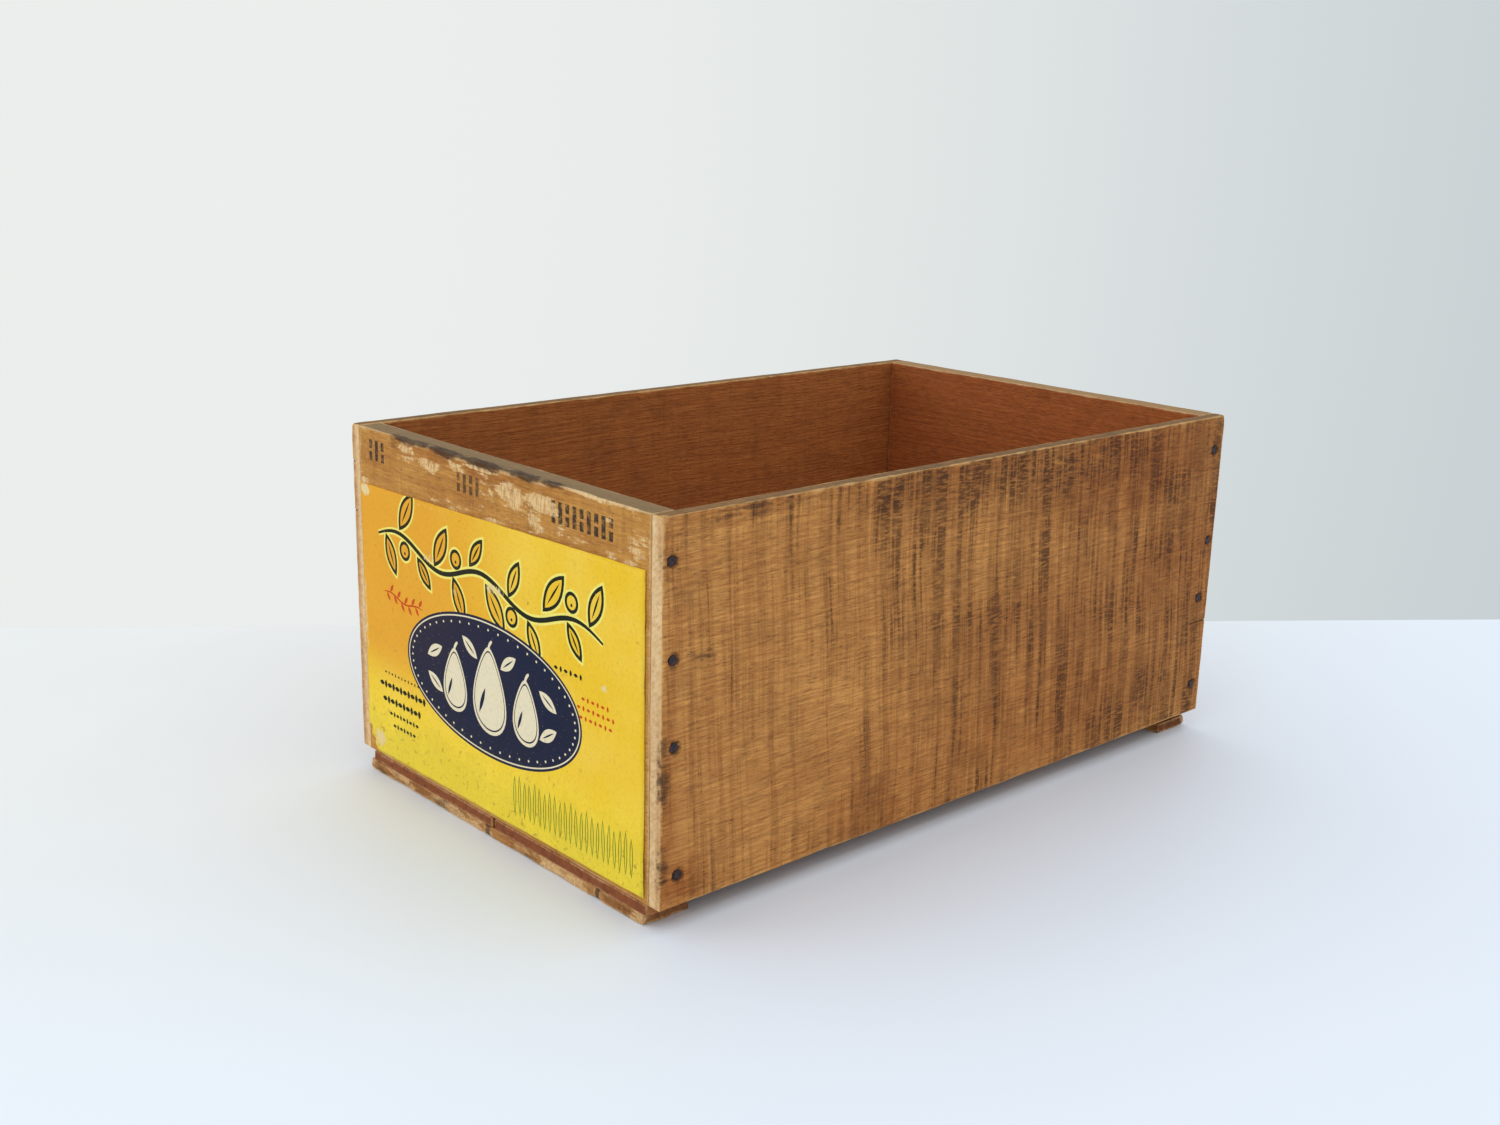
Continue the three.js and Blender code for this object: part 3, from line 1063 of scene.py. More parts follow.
@dataclass
class Board:
    """One sawn board of the crate, worn at its arrises and dented by its nails."""

    node: str
    grain: Axis
    thin: Axis
    outer: int
    finish: WoodFinish
    seed: int
    ease: float = 0.9
    waviness: float = 0.35
    saw_ripple: float = 0.06
    edge_waviness: float = 0.4
    spacing: tuple[float, float, float] = (1.7, 4.0, 2.0)
    cover: tuple[float, float, float] = (0.45, 0.0, 0.0)
    has_rim: bool = True
    worn_all_round: bool = False
    chips: tuple[Patch, ...] = ()
    stains: tuple[Patch, ...] = ()
    scuffs: tuple[Patch, ...] = ()
    dense: tuple[Patch, ...] = ()
    toned: tuple[Patch, ...] = ()
    splits: tuple[Split, ...] = ()
    fine_band: tuple[float, float] | None = None
    noise: Unevenness = field(init=False)

    MASKS = ("wear", "stain", "scuff", "cover", "tone", "inside", "rim", "end")
    EDGE_LINES = (0.0, 0.25, 0.6, 1.1, 1.8, 2.8, 4.2)
    SEAT_LINES = (0.0, 1.2, 2.2, 2.9, 3.5, 4.3, 5.4)
    SPLIT_LINES = (0.0, 0.25, 0.7)
    CRUSH_RADIUS = 4.6
    SEAT_DEPTH = 1.25

    def __post_init__(self) -> None:
        """Reads the board's place and size from the frame."""
        self.noise = Unevenness(self.seed)
        low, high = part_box(self.node)
        self.middle = (low + high) / 2
        left = ({Axis.X, Axis.Y, Axis.Z} - {self.grain, self.thin}).pop()
        self.axes = (self.grain, left, self.thin)
        size = high - low
        self.half = np.round([size[axis.value] / MM / 2 for axis in self.axes], 3)
        self.seats = heads_on(self.middle, self.half, self.axes)

    def lines(self, direction: int, marks: list[tuple[float, tuple[float, ...]]]) -> np.ndarray:
        """Places the lattice lines for one direction, closer where the shape is finer.

        Args:
            direction: 0 along, 1 across or 2 through the board.
            marks: places that need lines of their own, each with the offsets on both sides.

        Returns:
            The lines' places in rising order.
        """
        half = self.half[direction]
        count = max(2, round(2 * half / self.spacing[direction]))
        wanted = [sign * (half - offset) for offset in self.EDGE_LINES for sign in (-1, 1)
                  if offset < half * 0.8]
        for place, offsets in marks:
            wanted += [place + sign * offset for offset in offsets for sign in (-1, 1)]
        wanted = sorted({round(min(max(value, -half), half), 3) for value in wanted})
        kept = [value for i, value in enumerate(wanted)
                if i == 0 or value == half or value - wanted[i - 1] > 0.12]
        gap = 0.45 * self.spacing[direction]
        spare = [value for value in np.linspace(-half, half, count)
                 if min(abs(value - other) for other in kept) > gap]
        return np.array(sorted(kept + spare))

    def all_lines(self) -> tuple[np.ndarray, ...]:
        """Places the lattice lines for the three directions."""
        along = [(seat.along, self.SEAT_LINES) for seat in self.seats]
        across = [(seat.across, self.SEAT_LINES) for seat in self.seats]
        across += [(split.across, self.SPLIT_LINES) for split in self.splits]
        if self.fine_band:
            low, high = self.fine_band
            across += [(place, (0.0,)) for place in np.arange(low, high, 1.2)]
        return self.lines(0, along), self.lines(1, across), self.lines(2, [])

    def radius(self, points: np.ndarray) -> np.ndarray:
        """Gives how far the arris near each point is rounded off, chips included.

        Args:
            points: places on the block.

        Returns:
            The rounding radius for each.
        """
        along, across, deep = points.T
        shift = 40.0 * (deep > 0)
        rough = self.noise.layered(along / 23 + shift, across / 23, 4)
        radius = self.ease * (1.0 + 0.75 * rough)
        ragged = 0.75 + 0.45 * self.noise.layered(along / 5 + shift, across / 5 + 9.0, 3)
        for chip in self.chips:
            radius = radius + chip.share(points) * ragged
        return np.clip(radius, 0.2, 0.86 * self.half[2])

    def sunk(self, points: np.ndarray) -> np.ndarray:
        """Gives how far each point of the broad faces lies below the board's full thickness.

        Args:
            points: places on the block.

        Returns:
            The depth for each.
        """
        along, across, deep = points.T
        side = np.where(deep > 0, 1.0, -1.0)
        depth = self.waviness * (0.5 + 0.5 * self.noise.layered(along / 85 + 60 * side, across / 50, 2))
        ripple = self.noise.layered(along / 5.5 + 30 * side, across / 70, 2)
        depth = depth + self.saw_ripple * (0.5 + 0.5 * ripple)
        for seat in self.seats:
            away = np.hypot(along - seat.along, across - seat.across)
            rim = self.CRUSH_RADIUS * (1 + 0.25 * self.noise.at(along / 2, across / 2))
            dent = np.where(away < rim, self.SEAT_DEPTH * smooth_step(away / rim, 1.0, 0.58), 0.0)
            depth = depth + dent * (side == seat.side)
        for split in self.splits:
            depth = depth + self.split_depth(split, points) * (side == split.side)
        return depth

    def split_depth(self, split: Split, points: np.ndarray) -> np.ndarray:
        """Gives how deep one split is at each point.

        Args:
            split: the split.
            points: places on the block.

        Returns:
            The depth for each.
        """
        along, across = points[:, 0], points[:, 1]
        near = smooth_step(np.abs(across - split.across), split.width, 0.0)
        length = split.end - split.start
        share = np.clip((along - split.start) / length, 0.0, 1.0)
        within = (share > 0) & (share < 1) | (np.abs(along - split.start) < 1e-6)
        return split.depth * near * np.sqrt(1 - share) * within

    def shaped(self, points: np.ndarray) -> np.ndarray:
        """Wears, dents and bends the block's points into the real board's surface.

        Args:
            points: places on the square-edged block.

        Returns:
            Their places on the board.
        """
        radius = self.radius(points)[:, None]
        core = np.clip(points, -(self.half - radius), self.half - radius)
        away = points - core
        length = np.linalg.norm(away, axis=1, keepdims=True)
        worn = np.where(length > 0, core + away / np.where(length > 0, length, 1.0) * radius, points)
        side = np.sign(points)
        share = np.abs(points) / self.half
        along, across, deep = points.T
        worn[:, 2] -= side[:, 2] * self.sunk(points) * share[:, 2] ** 2
        edge = 0.5 + 0.5 * self.noise.layered(along / 30, across + deep / 9, 3)
        worn[:, 1] -= side[:, 1] * self.edge_waviness * edge * share[:, 1] ** 40
        end = 0.5 + 0.5 * self.noise.layered(across / 6, along + deep / 3, 3)
        worn[:, 0] -= side[:, 0] * self.edge_waviness * end * share[:, 0] ** 90
        return worn

    def masks(self, points: np.ndarray) -> dict[str, np.ndarray]:
        """Paints the masks that the board's material reads.

        Args:
            points: places on the square-edged block.

        Returns:
            One value per point for each mask.
        """
        along, across, deep = points.T
        to_face = self.half - np.abs(points)
        to_arris = np.sort(to_face, axis=1)[:, 1]
        wander = self.noise.layered(along / 18, across / 18, 3)
        wear = 0.62 * smooth_step(to_arris, 2.6 * (1 + wander), 0.0)
        for chip in self.chips:
            wear = np.maximum(wear, np.clip(chip.share(points) * 0.3, 0, 0.55) * (to_arris < 4.0))
        stain = np.zeros(len(points))
        for seat in self.seats:
            away = np.hypot(along - seat.along, across - seat.across)
            stain = np.maximum(stain, 0.72 * smooth_step(away, 6.5, 2.6) * (deep * seat.side > 0))
        near_face = self.near_face(deep, 7.0, 2.0)
        for patch in self.stains:
            stain = np.maximum(stain, patch.share(points) * near_face)
        for split in self.splits:
            stain = np.maximum(stain, self.split_depth(split, points) * (deep * split.side > 0))
        scuff = np.zeros(len(points))
        on_outer = self.near_face(deep, 2.4, 0.6)
        for patch in self.scuffs:
            scuff = np.maximum(scuff, patch.share(points) * on_outer)
        base, grow_along, grow_across = self.cover
        cover = base + grow_along * along / self.half[0] + grow_across * across / self.half[1]
        cover = cover + 0.4 * self.noise.layered(along / 70, across / 60, 2)
        for patch in self.dense:
            cover = cover + patch.share(points)
        tone = np.zeros(len(points))
        for patch in self.toned:
            tone = np.maximum(tone, patch.share(points) * near_face)
        on_inner = (deep * -self.outer > 0) & (to_face[:, 2] < 1e-6)
        on_top = (to_face[:, 1] < 1e-6) & (across > 0)
        return {"wear": wear, "stain": stain, "scuff": scuff, "cover": cover, "tone": tone,
                "inside": on_inner.astype(float), "rim": on_top * float(self.has_rim) * 0.95,
                "end": (to_face[:, 0] < 1e-6).astype(float)}

    def near_face(self, deep: np.ndarray, far: float, near: float) -> np.ndarray:
        """Gives how close each point lies to the outer face, from none to full.

        Args:
            deep: the points' places through the board.
            far: the distance from the face where it starts.
            near: the distance from the face where it is full.

        Returns:
            One share per point.
        """
        if self.worn_all_round:
            return np.ones(len(deep))
        return smooth_step(deep * self.outer, self.half[2] - far, self.half[2] - near)

    def build(self) -> bpy.types.Object:
        """Makes the board's mesh, dresses it and puts it in place of its CAD node.

        Returns:
            The board.
        """
        points, quads = lattice_surface(self.all_lines())
        shaped = self.shaped(points)
        placed = np.zeros_like(shaped)
        for column, axis in enumerate(self.axes):
            placed[:, axis.value] = shaped[:, column] * MM + self.middle[axis.value]
        turned = np.linalg.det(np.eye(3)[[axis.value for axis in self.axes]]) < 0
        mesh = mesh_from(self.node + "_worn", placed, quads[:, ::-1] if turned else quads)
        for name, values in self.masks(points).items():
            add_mask(mesh, name, values)
        material = self.finish.material(self.node + "_wood", self.axes, self.middle, float(self.seed))
        mesh.materials.append(material)
        return add_piece(self.node + "_worn", mesh, self.node)


# Nails


@dataclass
class WireNails:
    """The crate's hand-driven wire nails, each with its own hammered head."""

    finish: NailFinish = field(default_factory=NailFinish)
    sides: int = 28
    head_rings: tuple[float, ...] = (0.3, 0.55, 0.75, 0.9, 1.0)
    dish: float = 0.22
    rim_drop: float = 0.25
    head_side: float = 0.7
    head_back: float = 0.95
    neck_start: float = 1.05
    neck_end: float = 2.2
    wire_share: float = 0.54
    point_length: float = 4.0
    point_waist: float = 2.0
    lumpiness: float = 0.05
    dents: float = 0.16
    sink: float = 0.08
    seed: int = 404

    def build(self) -> list[bpy.types.Object]:
        """Makes every nail.

        Returns:
            The nails.
        """
        material = self.finish.material()
        noise = Unevenness(self.seed)
        names = sorted(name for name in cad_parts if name.startswith(NAIL_PREFIX))
        return [self.nail(name, number, noise, material) for number, name in enumerate(names)]

    def nail(self, node: str, number: int, noise: Unevenness,
             material: bpy.types.Material) -> bpy.types.Object:
        """Makes one nail inside the box of its CAD node.

        Args:
            node: the CAD node.
            number: the nail's number, which sets how its head was struck.
            noise: the unevenness of the heads.
            material: the nails' material.

        Returns:
            The nail.
        """
        low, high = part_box(node)
        shank = max(range(3), key=lambda i: high[i] - low[i])
        length = high[shank] - low[shank]
        middle = (low + high) / 2
        outward = Vector((0.0, 0.0, 0.0))
        outward[shank] = 1.0 if shank == Axis.X.value and middle.x > 0 else -1.0
        top = middle + outward * (length / 2)
        head_radius = min(high[i] - low[i] for i in range(3)) / 2
        points, faces = self.profile(head_radius, length, number, noise)
        turn = Vector((0, 0, 1)).rotation_difference(outward).to_matrix()
        placed = points @ np.array(turn).T + np.array(top)
        mesh = bpy.data.meshes.new(node + "_hammered")
        mesh.from_pydata(placed.tolist(), [], faces)
        mesh.polygons.foreach_set("use_smooth", np.ones(len(mesh.polygons), bool))
        mesh.update()
        mesh.materials.append(material)
        return add_piece(node + "_hammered", mesh, node)

    def profile(self, head: float, length: float, number: int,
                noise: Unevenness) -> tuple[np.ndarray, list[tuple[int, ...]]]:
        """Turns a nail about Z, with the top of its head at the origin.

        Args:
            head: the head's radius, in metres.
            length: the nail's length, in metres.
            number: the nail's number.
            noise: the unevenness of the heads.

        Returns:
            The points and the faces.
        """
        wire = head * self.wire_share
        rows = [(ring * head, -self.dish * MM * (1 - ring ** 2) - self.rim_drop * MM * ring ** 6)
                for ring in self.head_rings]
        rows += [(head, -self.head_side * MM), (head * 0.93, -self.head_back * MM),
                 (wire * 1.15, -self.neck_start * MM), (wire, -self.neck_end * MM),
                 (wire, self.point_length * MM - length), (wire * 0.62, self.point_waist * MM - length)]
        top_rows = len(self.head_rings)
        head_rows = top_rows + 3
        points = [(0.0, 0.0, -self.dish * MM)]
        for row, (radius, height) in enumerate(rows):
            reach = 2.2 * radius / head
            for angle in np.linspace(0, 2 * math.pi, self.sides, endpoint=False):
                x, y = math.cos(angle), math.sin(angle)
                lump = float(noise.at(3 * x + number * 7.1, 3 * y + row * 0.6))
                wide = radius * (1 + self.lumpiness * lump * (row < head_rows))
                dent = float(noise.at(reach * x + number * 3.7, reach * y))
                struck = MM * (self.dents * dent - self.sink) * (row < top_rows)
                points.append((wide * x, wide * y, height + struck))
        points.append((0.0, 0.0, -length))
        n = self.sides
        faces: list[tuple[int, ...]] = [(0, 1 + i, 1 + (i + 1) % n) for i in range(n)]
        for row in range(len(rows) - 1):
            start, below = 1 + row * n, 1 + (row + 1) * n
            for i in range(n):
                j = (i + 1) % n
                faces.append((start + i, below + i, below + j, start + j))
        last = 1 + (len(rows) - 1) * n
        faces += [(last + (i + 1) % n, last + i, len(points) - 1) for i in range(n)]
        return np.array(points), faces


# The pasted label


@dataclass(frozen=True)
class Shape:
    """One inked outline, in millimetres on the end panel: across it, and up from its bottom."""

    ink: Ink
    outline: tuple[Point, ...]


def oval(middle: Point, half_width: float, half_height: float, steps: int = 72) -> tuple[Point, ...]:
    """Draws an oval.

    Args:
        middle: its middle.
        half_width: half its width.
        half_height: half its height.
        steps: how many points it has.

    Returns:
        The outline.
    """
    turns = np.linspace(0, 2 * math.pi, steps, endpoint=False)
    return tuple((middle[0] + half_width * math.cos(turn), middle[1] + half_height * math.sin(turn))
                 for turn in turns)


def leaf(middle: Point, length: float, width: float, angle: float, steps: int = 9) -> tuple[Point, ...]:
    """Draws a pointed leaf, or any slender shape with two points.

    Args:
        middle: its middle.
        length: its length, from point to point.
        width: its width at the middle.
        angle: how far it is turned from lying flat, in degrees.
        steps: how many stretches each side has.

    Returns:
        The outline.
    """
    turn = math.radians(angle)
    shares = np.linspace(0, 1, steps + 1)
    lower = [((s - 0.5) * length, -0.5 * width * math.sin(math.pi * s) ** 0.85) for s in shares]
    upper = [(x, -y) for x, y in reversed(lower[1:-1])]
    return tuple((middle[0] + x * math.cos(turn) - y * math.sin(turn),
                  middle[1] + x * math.sin(turn) + y * math.cos(turn)) for x, y in lower + upper)


def pear(middle: Point, height: float, grow: float = 0.0, steps: int = 40) -> tuple[Point, ...]:
    """Draws a pear with its stalk end up.

    Args:
        middle: its middle.
        height: its height.
        grow: how much larger than that it is all round.
        steps: how many points it has.

    Returns:
        The outline.
    """
    half = height / 2 + grow
    points = []
    for turn in np.linspace(0, 2 * math.pi, steps, endpoint=False):
        across = half * math.sin(turn) * (0.60 - 0.26 * math.cos(turn))
        points.append((middle[0] - across, middle[1] + half * math.cos(turn)))
    return tuple(points)


def stroke(path: list[Point], width: float, taper: float = 0.25) -> tuple[Point, ...]:
    """Draws a pen stroke along a path, thinner at both ends.

    Args:
        path: the points that the pen passes.
        width: the stroke's full width.
        taper: the share of the width that is left at the ends.

    Returns:
        The outline.
    """
    line = np.array(path)
    ahead = np.gradient(line, axis=0)
    ahead /= np.linalg.norm(ahead, axis=1, keepdims=True)
    across = np.stack([-ahead[:, 1], ahead[:, 0]], 1)
    share = np.sin(np.linspace(0, math.pi, len(line)))
    half = (width / 2 * (taper + (1 - taper) * np.minimum(1.0, share * 2.2)))[:, None]
    sides = np.concatenate([line - across * half, (line + across * half)[::-1]])
    return tuple(map(tuple, sides))


@dataclass(frozen=True)
class LabelArt:
    """A grower's plain label: a leafy garland over an oval of pears, with small fleurons."""

    garland_left: float = -125.0
    garland_right: float = 107.0
    garland_start: float = 151.0
    garland_fall: float = 14.0
    garland_swing: float = 6.0
    leaf_length: float = 28.0
    leaf_width: float = 12.0
    fruit_radius: float = 6.2
    pen: float = 2.1
    halo: float = 1.5
    oval_middle: Point = (-3.0, 81.0)
    oval_size: Point = (91.0, 42.5)
    reed_count: int = 23
    reed_left: float = 22.0
    reed_foot: float = 10.5
    reed_pitch: float = 5.0
    reed_height: float = 25.0

    ROWS = ((Ink.BLACK, 64.0, 113.0, 6, 4.6, 1.5), (Ink.RED, 89.0, 101.5, 6, 4.4, 1.3),
            (Ink.RED, 85.0, 96.0, 8, 4.4, 1.3), (Ink.RED, 87.0, 90.5, 7, 4.4, 1.3),
            (Ink.BLACK, -122.0, 60.0, 11, 3.9, 1.0), (Ink.BLACK, -127.0, 51.5, 12, 4.6, 2.2),
            (Ink.BLACK, -124.0, 41.5, 10, 4.6, 2.2), (Ink.BLACK, -117.0, 33.0, 9, 3.9, 1.5),
            (Ink.BLACK, -113.0, 25.5, 7, 3.9, 1.5))

    def shapes(self) -> list[Shape]:
        """Gives every outline in the order of printing; a later one covers an earlier one."""
        return self.garland() + self.medallion() + self.fleurons() + self.reeds()

    def stem_height(self, x: float) -> float:
        """Gives the garland stem's height at one place across the label."""
        share = (x - self.garland_left) / (self.garland_right - self.garland_left)
        swing = self.garland_swing * math.sin(5 * math.pi * share)
        return self.garland_start - self.garland_fall * share + swing

    def garland(self) -> list[Shape]:
        """Draws the waving stem with outlined leaves on both sides and round fruits between.

        Returns:
            The outlines.
        """
        xs = np.linspace(self.garland_left, self.garland_right, 60)
        stem = [(float(x), self.stem_height(x)) for x in xs]
        leaves: list[tuple[Point, float, float]] = []
        fruits: list[Point] = []
        places = np.linspace(self.garland_left + 9, self.garland_right - 12, 12)
        for number, x in enumerate(places):
            side = 1 if number % 2 else -1
            size = 1.0 + 0.16 * math.sin(2.3 * number)
            lean = side * (58 + 8 * math.cos(1.7 * number))
            lift = side * (self.leaf_length * size * 0.5)
            leaves.append(((float(x) + 5.5, self.stem_height(x) + lift), lean, size))
            if number % 3 == 1:
                fruits.append((float(x) + 3, self.stem_height(x) - side * 9.5))
        shapes = [Shape(Ink.PALE, stroke(stem, self.pen * 1.4 + 2 * self.halo, 0.6))]
        for middle, lean, size in leaves:
            glow = (self.leaf_length * size + 3 * self.halo, self.leaf_width * size + 2 * self.halo)
            shapes.append(Shape(Ink.PALE, leaf(middle, *glow, lean)))
        glow, ring, core = (self.fruit_radius + change for change in (self.halo, 0.0, -self.pen))
        shapes += [Shape(Ink.PALE, oval(spot, glow, glow, 28)) for spot in fruits]
        for middle, lean, size in leaves:
            length, width = self.leaf_length * size, self.leaf_width * size
            inner = (length - 3.4 * self.pen, width - 2 * self.pen)
            shapes.append(Shape(Ink.BLACK, leaf(middle, length, width, lean)))
            shapes.append(Shape(Ink.PAPER, leaf(middle, *inner, lean)))
            shapes.append(Shape(Ink.BLACK, leaf(middle, length * 0.6, 1.5, lean, 5)))
        for spot in fruits:
            shapes.append(Shape(Ink.BLACK, oval(spot, ring, ring, 28)))
            shapes.append(Shape(Ink.PAPER, oval(spot, core, core, 24)))
            shapes.append(Shape(Ink.BLACK, oval((spot[0], spot[1] - 1.5), 1.0, 1.0, 10)))
        shapes.append(Shape(Ink.BLACK, stroke(stem, self.pen * 1.4, 0.5)))
        return shapes

    def medallion(self) -> list[Shape]:
        """Draws the dark oval with its keylines, beads, three pears and their leaves.

        Returns:
            The outlines.
        """
        middle, (wide, high) = self.oval_middle, self.oval_size
        rings = ((0.0, Ink.NAVY), (1.6, Ink.CREAM), (2.5, Ink.NAVY))
        shapes = [Shape(ink, oval(middle, wide - inset, high - inset, 120)) for inset, ink in rings]
        for turn in np.linspace(0, 2 * math.pi, 52, endpoint=False):
            bead = (middle[0] + (wide - 6.0) * math.cos(turn), middle[1] + (high - 6.0) * math.sin(turn))
            shapes.append(Shape(Ink.CREAM, oval(bead, 0.8, 0.8, 8)))
        for offset, size, lift in ((-37.0, 40.0, -4.0), (37.0, 40.0, -4.0), (0.0, 54.0, -1.0)):
            shapes += self.fruit((middle[0] + offset, middle[1] + lift), size)
        for side in (-1, 1):
            for reach, lean, drop in ((20.0, 34.0, 21.0), (59.0, -28.0, 9.0), (59.0, 30.0, -11.0)):
                spot = (middle[0] + side * reach, middle[1] + drop)
                shapes.append(Shape(Ink.CREAM, leaf(spot, 19.0, 7.6, side * lean)))
                shapes.append(Shape(Ink.NAVY, leaf(spot, 13.0, 1.1, side * lean, 5)))
        return shapes

    def fruit(self, middle: Point, size: float) -> list[Shape]:
        """Draws one pear with an inner line, a highlight and a stalk.

        Args:
            middle: the pear's middle.
            size: its height.

        Returns:
            The outlines.
        """
        top = (middle[0], middle[1] + size / 2)
        stalk = [(top[0] + 0.9 * i * i / 9, top[1] - 1.5 + i) for i in range(7)]
        shine = (middle[0] - size * 0.14, middle[1] - size * 0.14)
        return [Shape(Ink.NAVY, pear(middle, size, 1.8)), Shape(Ink.CREAM, pear(middle, size)),
                Shape(Ink.NAVY, pear(middle, size, -2.2)), Shape(Ink.CREAM, pear(middle, size, -3.2)),
                Shape(Ink.NAVY, leaf(shine, size * 0.34, size * 0.06, 68.0, 6)),
                Shape(Ink.CREAM, stroke(stalk, 2.0, 0.6))]

    def fleurons(self) -> list[Shape]:
        """Draws the small rows of ornaments around the oval.

        Returns:
            The outlines.
        """
        shapes = []
        sprig = [(-121.0 + 4.2 * i, 114.0 + 1.5 * math.sin(i * 0.8) - 0.3 * i) for i in range(12)]
        shapes.append(Shape(Ink.RED, stroke(sprig, 1.2)))
        for number, (x, z) in enumerate(sprig[1:-1]):
            side = 1 if number % 2 else -1
            shapes.append(Shape(Ink.RED, leaf((x + 1.6, z + side * 3.0), 6.6, 2.6, side * 52, 6)))
        for ink, left, height, count, pitch, size in self.ROWS:
            for i in range(count):
                spot = (left + i * pitch, height + 0.02 * i)
                tilt = 90.0 if i % 2 else 0.0
                shapes.append(Shape(ink, leaf(spot, 2.6 * size, 1.5 * size, tilt, 4)))
        return shapes

    def reeds(self) -> list[Shape]:
        """Draws a row of slender reeds low on the right.

        Returns:
            The outlines.
        """
        shapes = []
        for i in range(self.reed_count):
            tall = self.reed_height + 1.6 * math.sin(1.9 * i)
            lean = 90.0 + 2.2 * math.sin(2.7 * i)
            spot = (self.reed_left + self.reed_pitch * i, self.reed_foot + tall / 2 + 0.02 * i)
            shapes.append(Shape(Ink.GREEN, leaf(spot, tall, 3.1, lean, 8)))
            shapes.append(Shape(Ink.PAPER, leaf(spot, tall - 4.0, 1.5, lean, 8)))
        return shapes


@dataclass
class PaperLabel:
    """The printed sheet pasted on the front end panel, scuffed, and lifting at its torn rim."""

    node: str = "paper_label"
    panel: str = "end_panel_front"
    finish: PaperFinish = field(default_factory=PaperFinish)
    art: LabelArt = field(default_factory=LabelArt)
    grid: float = 3.0
    rim_step: float = 1.3
    rim_tear: float = 0.55
    lift: float = 0.45
    cockle: float = 0.10
    thickness: float = 0.16
    seed: int = 77
    scuffs: tuple[Patch, ...] = (
        Patch(-66, 147, 13, 7, 0.52), Patch(-38, 132, 7, 6, 0.5), Patch(4, 143, 20, 7, 0.55),
        Patch(108, 113, 5, 3.5, 0.9), Patch(-140, 176, 10, 7, 0.75), Patch(-100, 160, 22, 12, 0.22),
        Patch(52, 158, 30, 8, 0.25), Patch(-20, 100, 26, 30, 0.2), Patch(40, 78, 28, 22, 0.2),
        Patch(-132, 12, 14, 12, 0.62), Patch(139, 120, 5, 60, 0.35), Patch(-144, 90, 4, 70, 0.5),
        Patch(20, 4, 120, 4, 0.38), Patch(90, 181, 50, 5, 0.42), Patch(-60, 178, 60, 4, 0.4))

    MASKS = ("scuff", "aged", "damp")

    def __post_init__(self) -> None:
        """Reads the sheet's place from the frame."""
        self.noise = Unevenness(self.seed)
        self.low, self.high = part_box(self.node)
        self.panel_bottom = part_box(self.panel)[0].z

    def rim(self) -> list[Point]:
        """Takes the sheet's outline from its CAD node and tears it a little.

        Returns:
            The outline in millimetres on the panel.
        """
        solid = bmesh.new()
        solid.from_mesh(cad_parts[self.node].data)
        bmesh.ops.remove_doubles(solid, verts=solid.verts, dist=1e-6)
        front = [face for face in solid.faces if face.normal.y < -0.9]
        edges: dict[Point, Point] = {}
        for face in front:
            for loop in face.loops:
                if all(other.face not in front or other.face is face for other in loop.edge.link_loops):
                    start, end = loop.vert.co, loop.link_loop_next.vert.co
                    edges[self.flat(start)] = self.flat(end)
        solid.free()
        here = min(edges)
        corners = [here]
        while edges[corners[-1]] != here:
            corners.append(edges[corners[-1]])
        return self.torn(corners)

    def flat(self, place: Vector) -> Point:
        """Gives a point of the frame as a place on the panel, in millimetres."""
        return (round(place.x / MM, 3), round((place.z - self.panel_bottom) / MM, 3))

    def torn(self, corners: list[Point]) -> list[Point]:
        """Divides an outline into short steps and pulls each a little inwards.

        Args:
            corners: the outline's corners.

        Returns:
            The ragged outline.
        """
        ragged = []
        middle = np.mean(corners, axis=0)
        for start, end in zip(corners, corners[1:] + corners[:1]):
            start, end = np.array(start), np.array(end)
            count = max(1, round(float(np.linalg.norm(end - start)) / self.rim_step))
            for i in range(count):
                point = start + (end - start) * i / count
                rough = float(self.noise.layered(point[0] / 7, point[1] / 7, 3))
                pull = self.rim_tear * (0.5 + 0.5 * rough)
                inward = (middle - point) / np.abs(middle - point).max()
                ragged.append(tuple(point + inward * pull))
        return ragged

    def build(self) -> bpy.types.Object:
        """Cuts the sheet along every printed outline, so that each ink is its own set of faces.

        Returns:
            The label.
        """
        rim = self.rim()
        shapes = [Shape(Ink.PAPER, tuple(rim))] + self.art.shapes()
        places = [Vector(point) for shape in shapes for point in shape.outline]
        faces, start = [], 0
        for shape in shapes:
            faces.append(list(range(start, start + len(shape.outline))))
            start += len(shape.outline)
        rim_array = np.array(rim)
        xs = np.arange(rim_array[:, 0].min() + 2, rim_array[:, 0].max() - 2, self.grid)
        zs = np.arange(rim_array[:, 1].min() + 2, rim_array[:, 1].max() - 2, self.grid)
        places += [Vector((float(x), float(z))) for x in xs for z in zs]
        flat, _, cut, _, _, sources = delaunay_2d_cdt(places, [], faces, 1, 1e-4, True)
        kept = [(face, max(source)) for face, source in zip(cut, sources) if 0 in source]
        inks = [ink for ink, _ in self.finish.inks]
        chosen = [inks.index(shapes[top].ink) for _, top in kept]
        mesh = self.sheet(np.array([tuple(point) for point in flat]), [face for face, _ in kept], chosen)
        return add_piece("printed_paper_label", mesh, self.node)

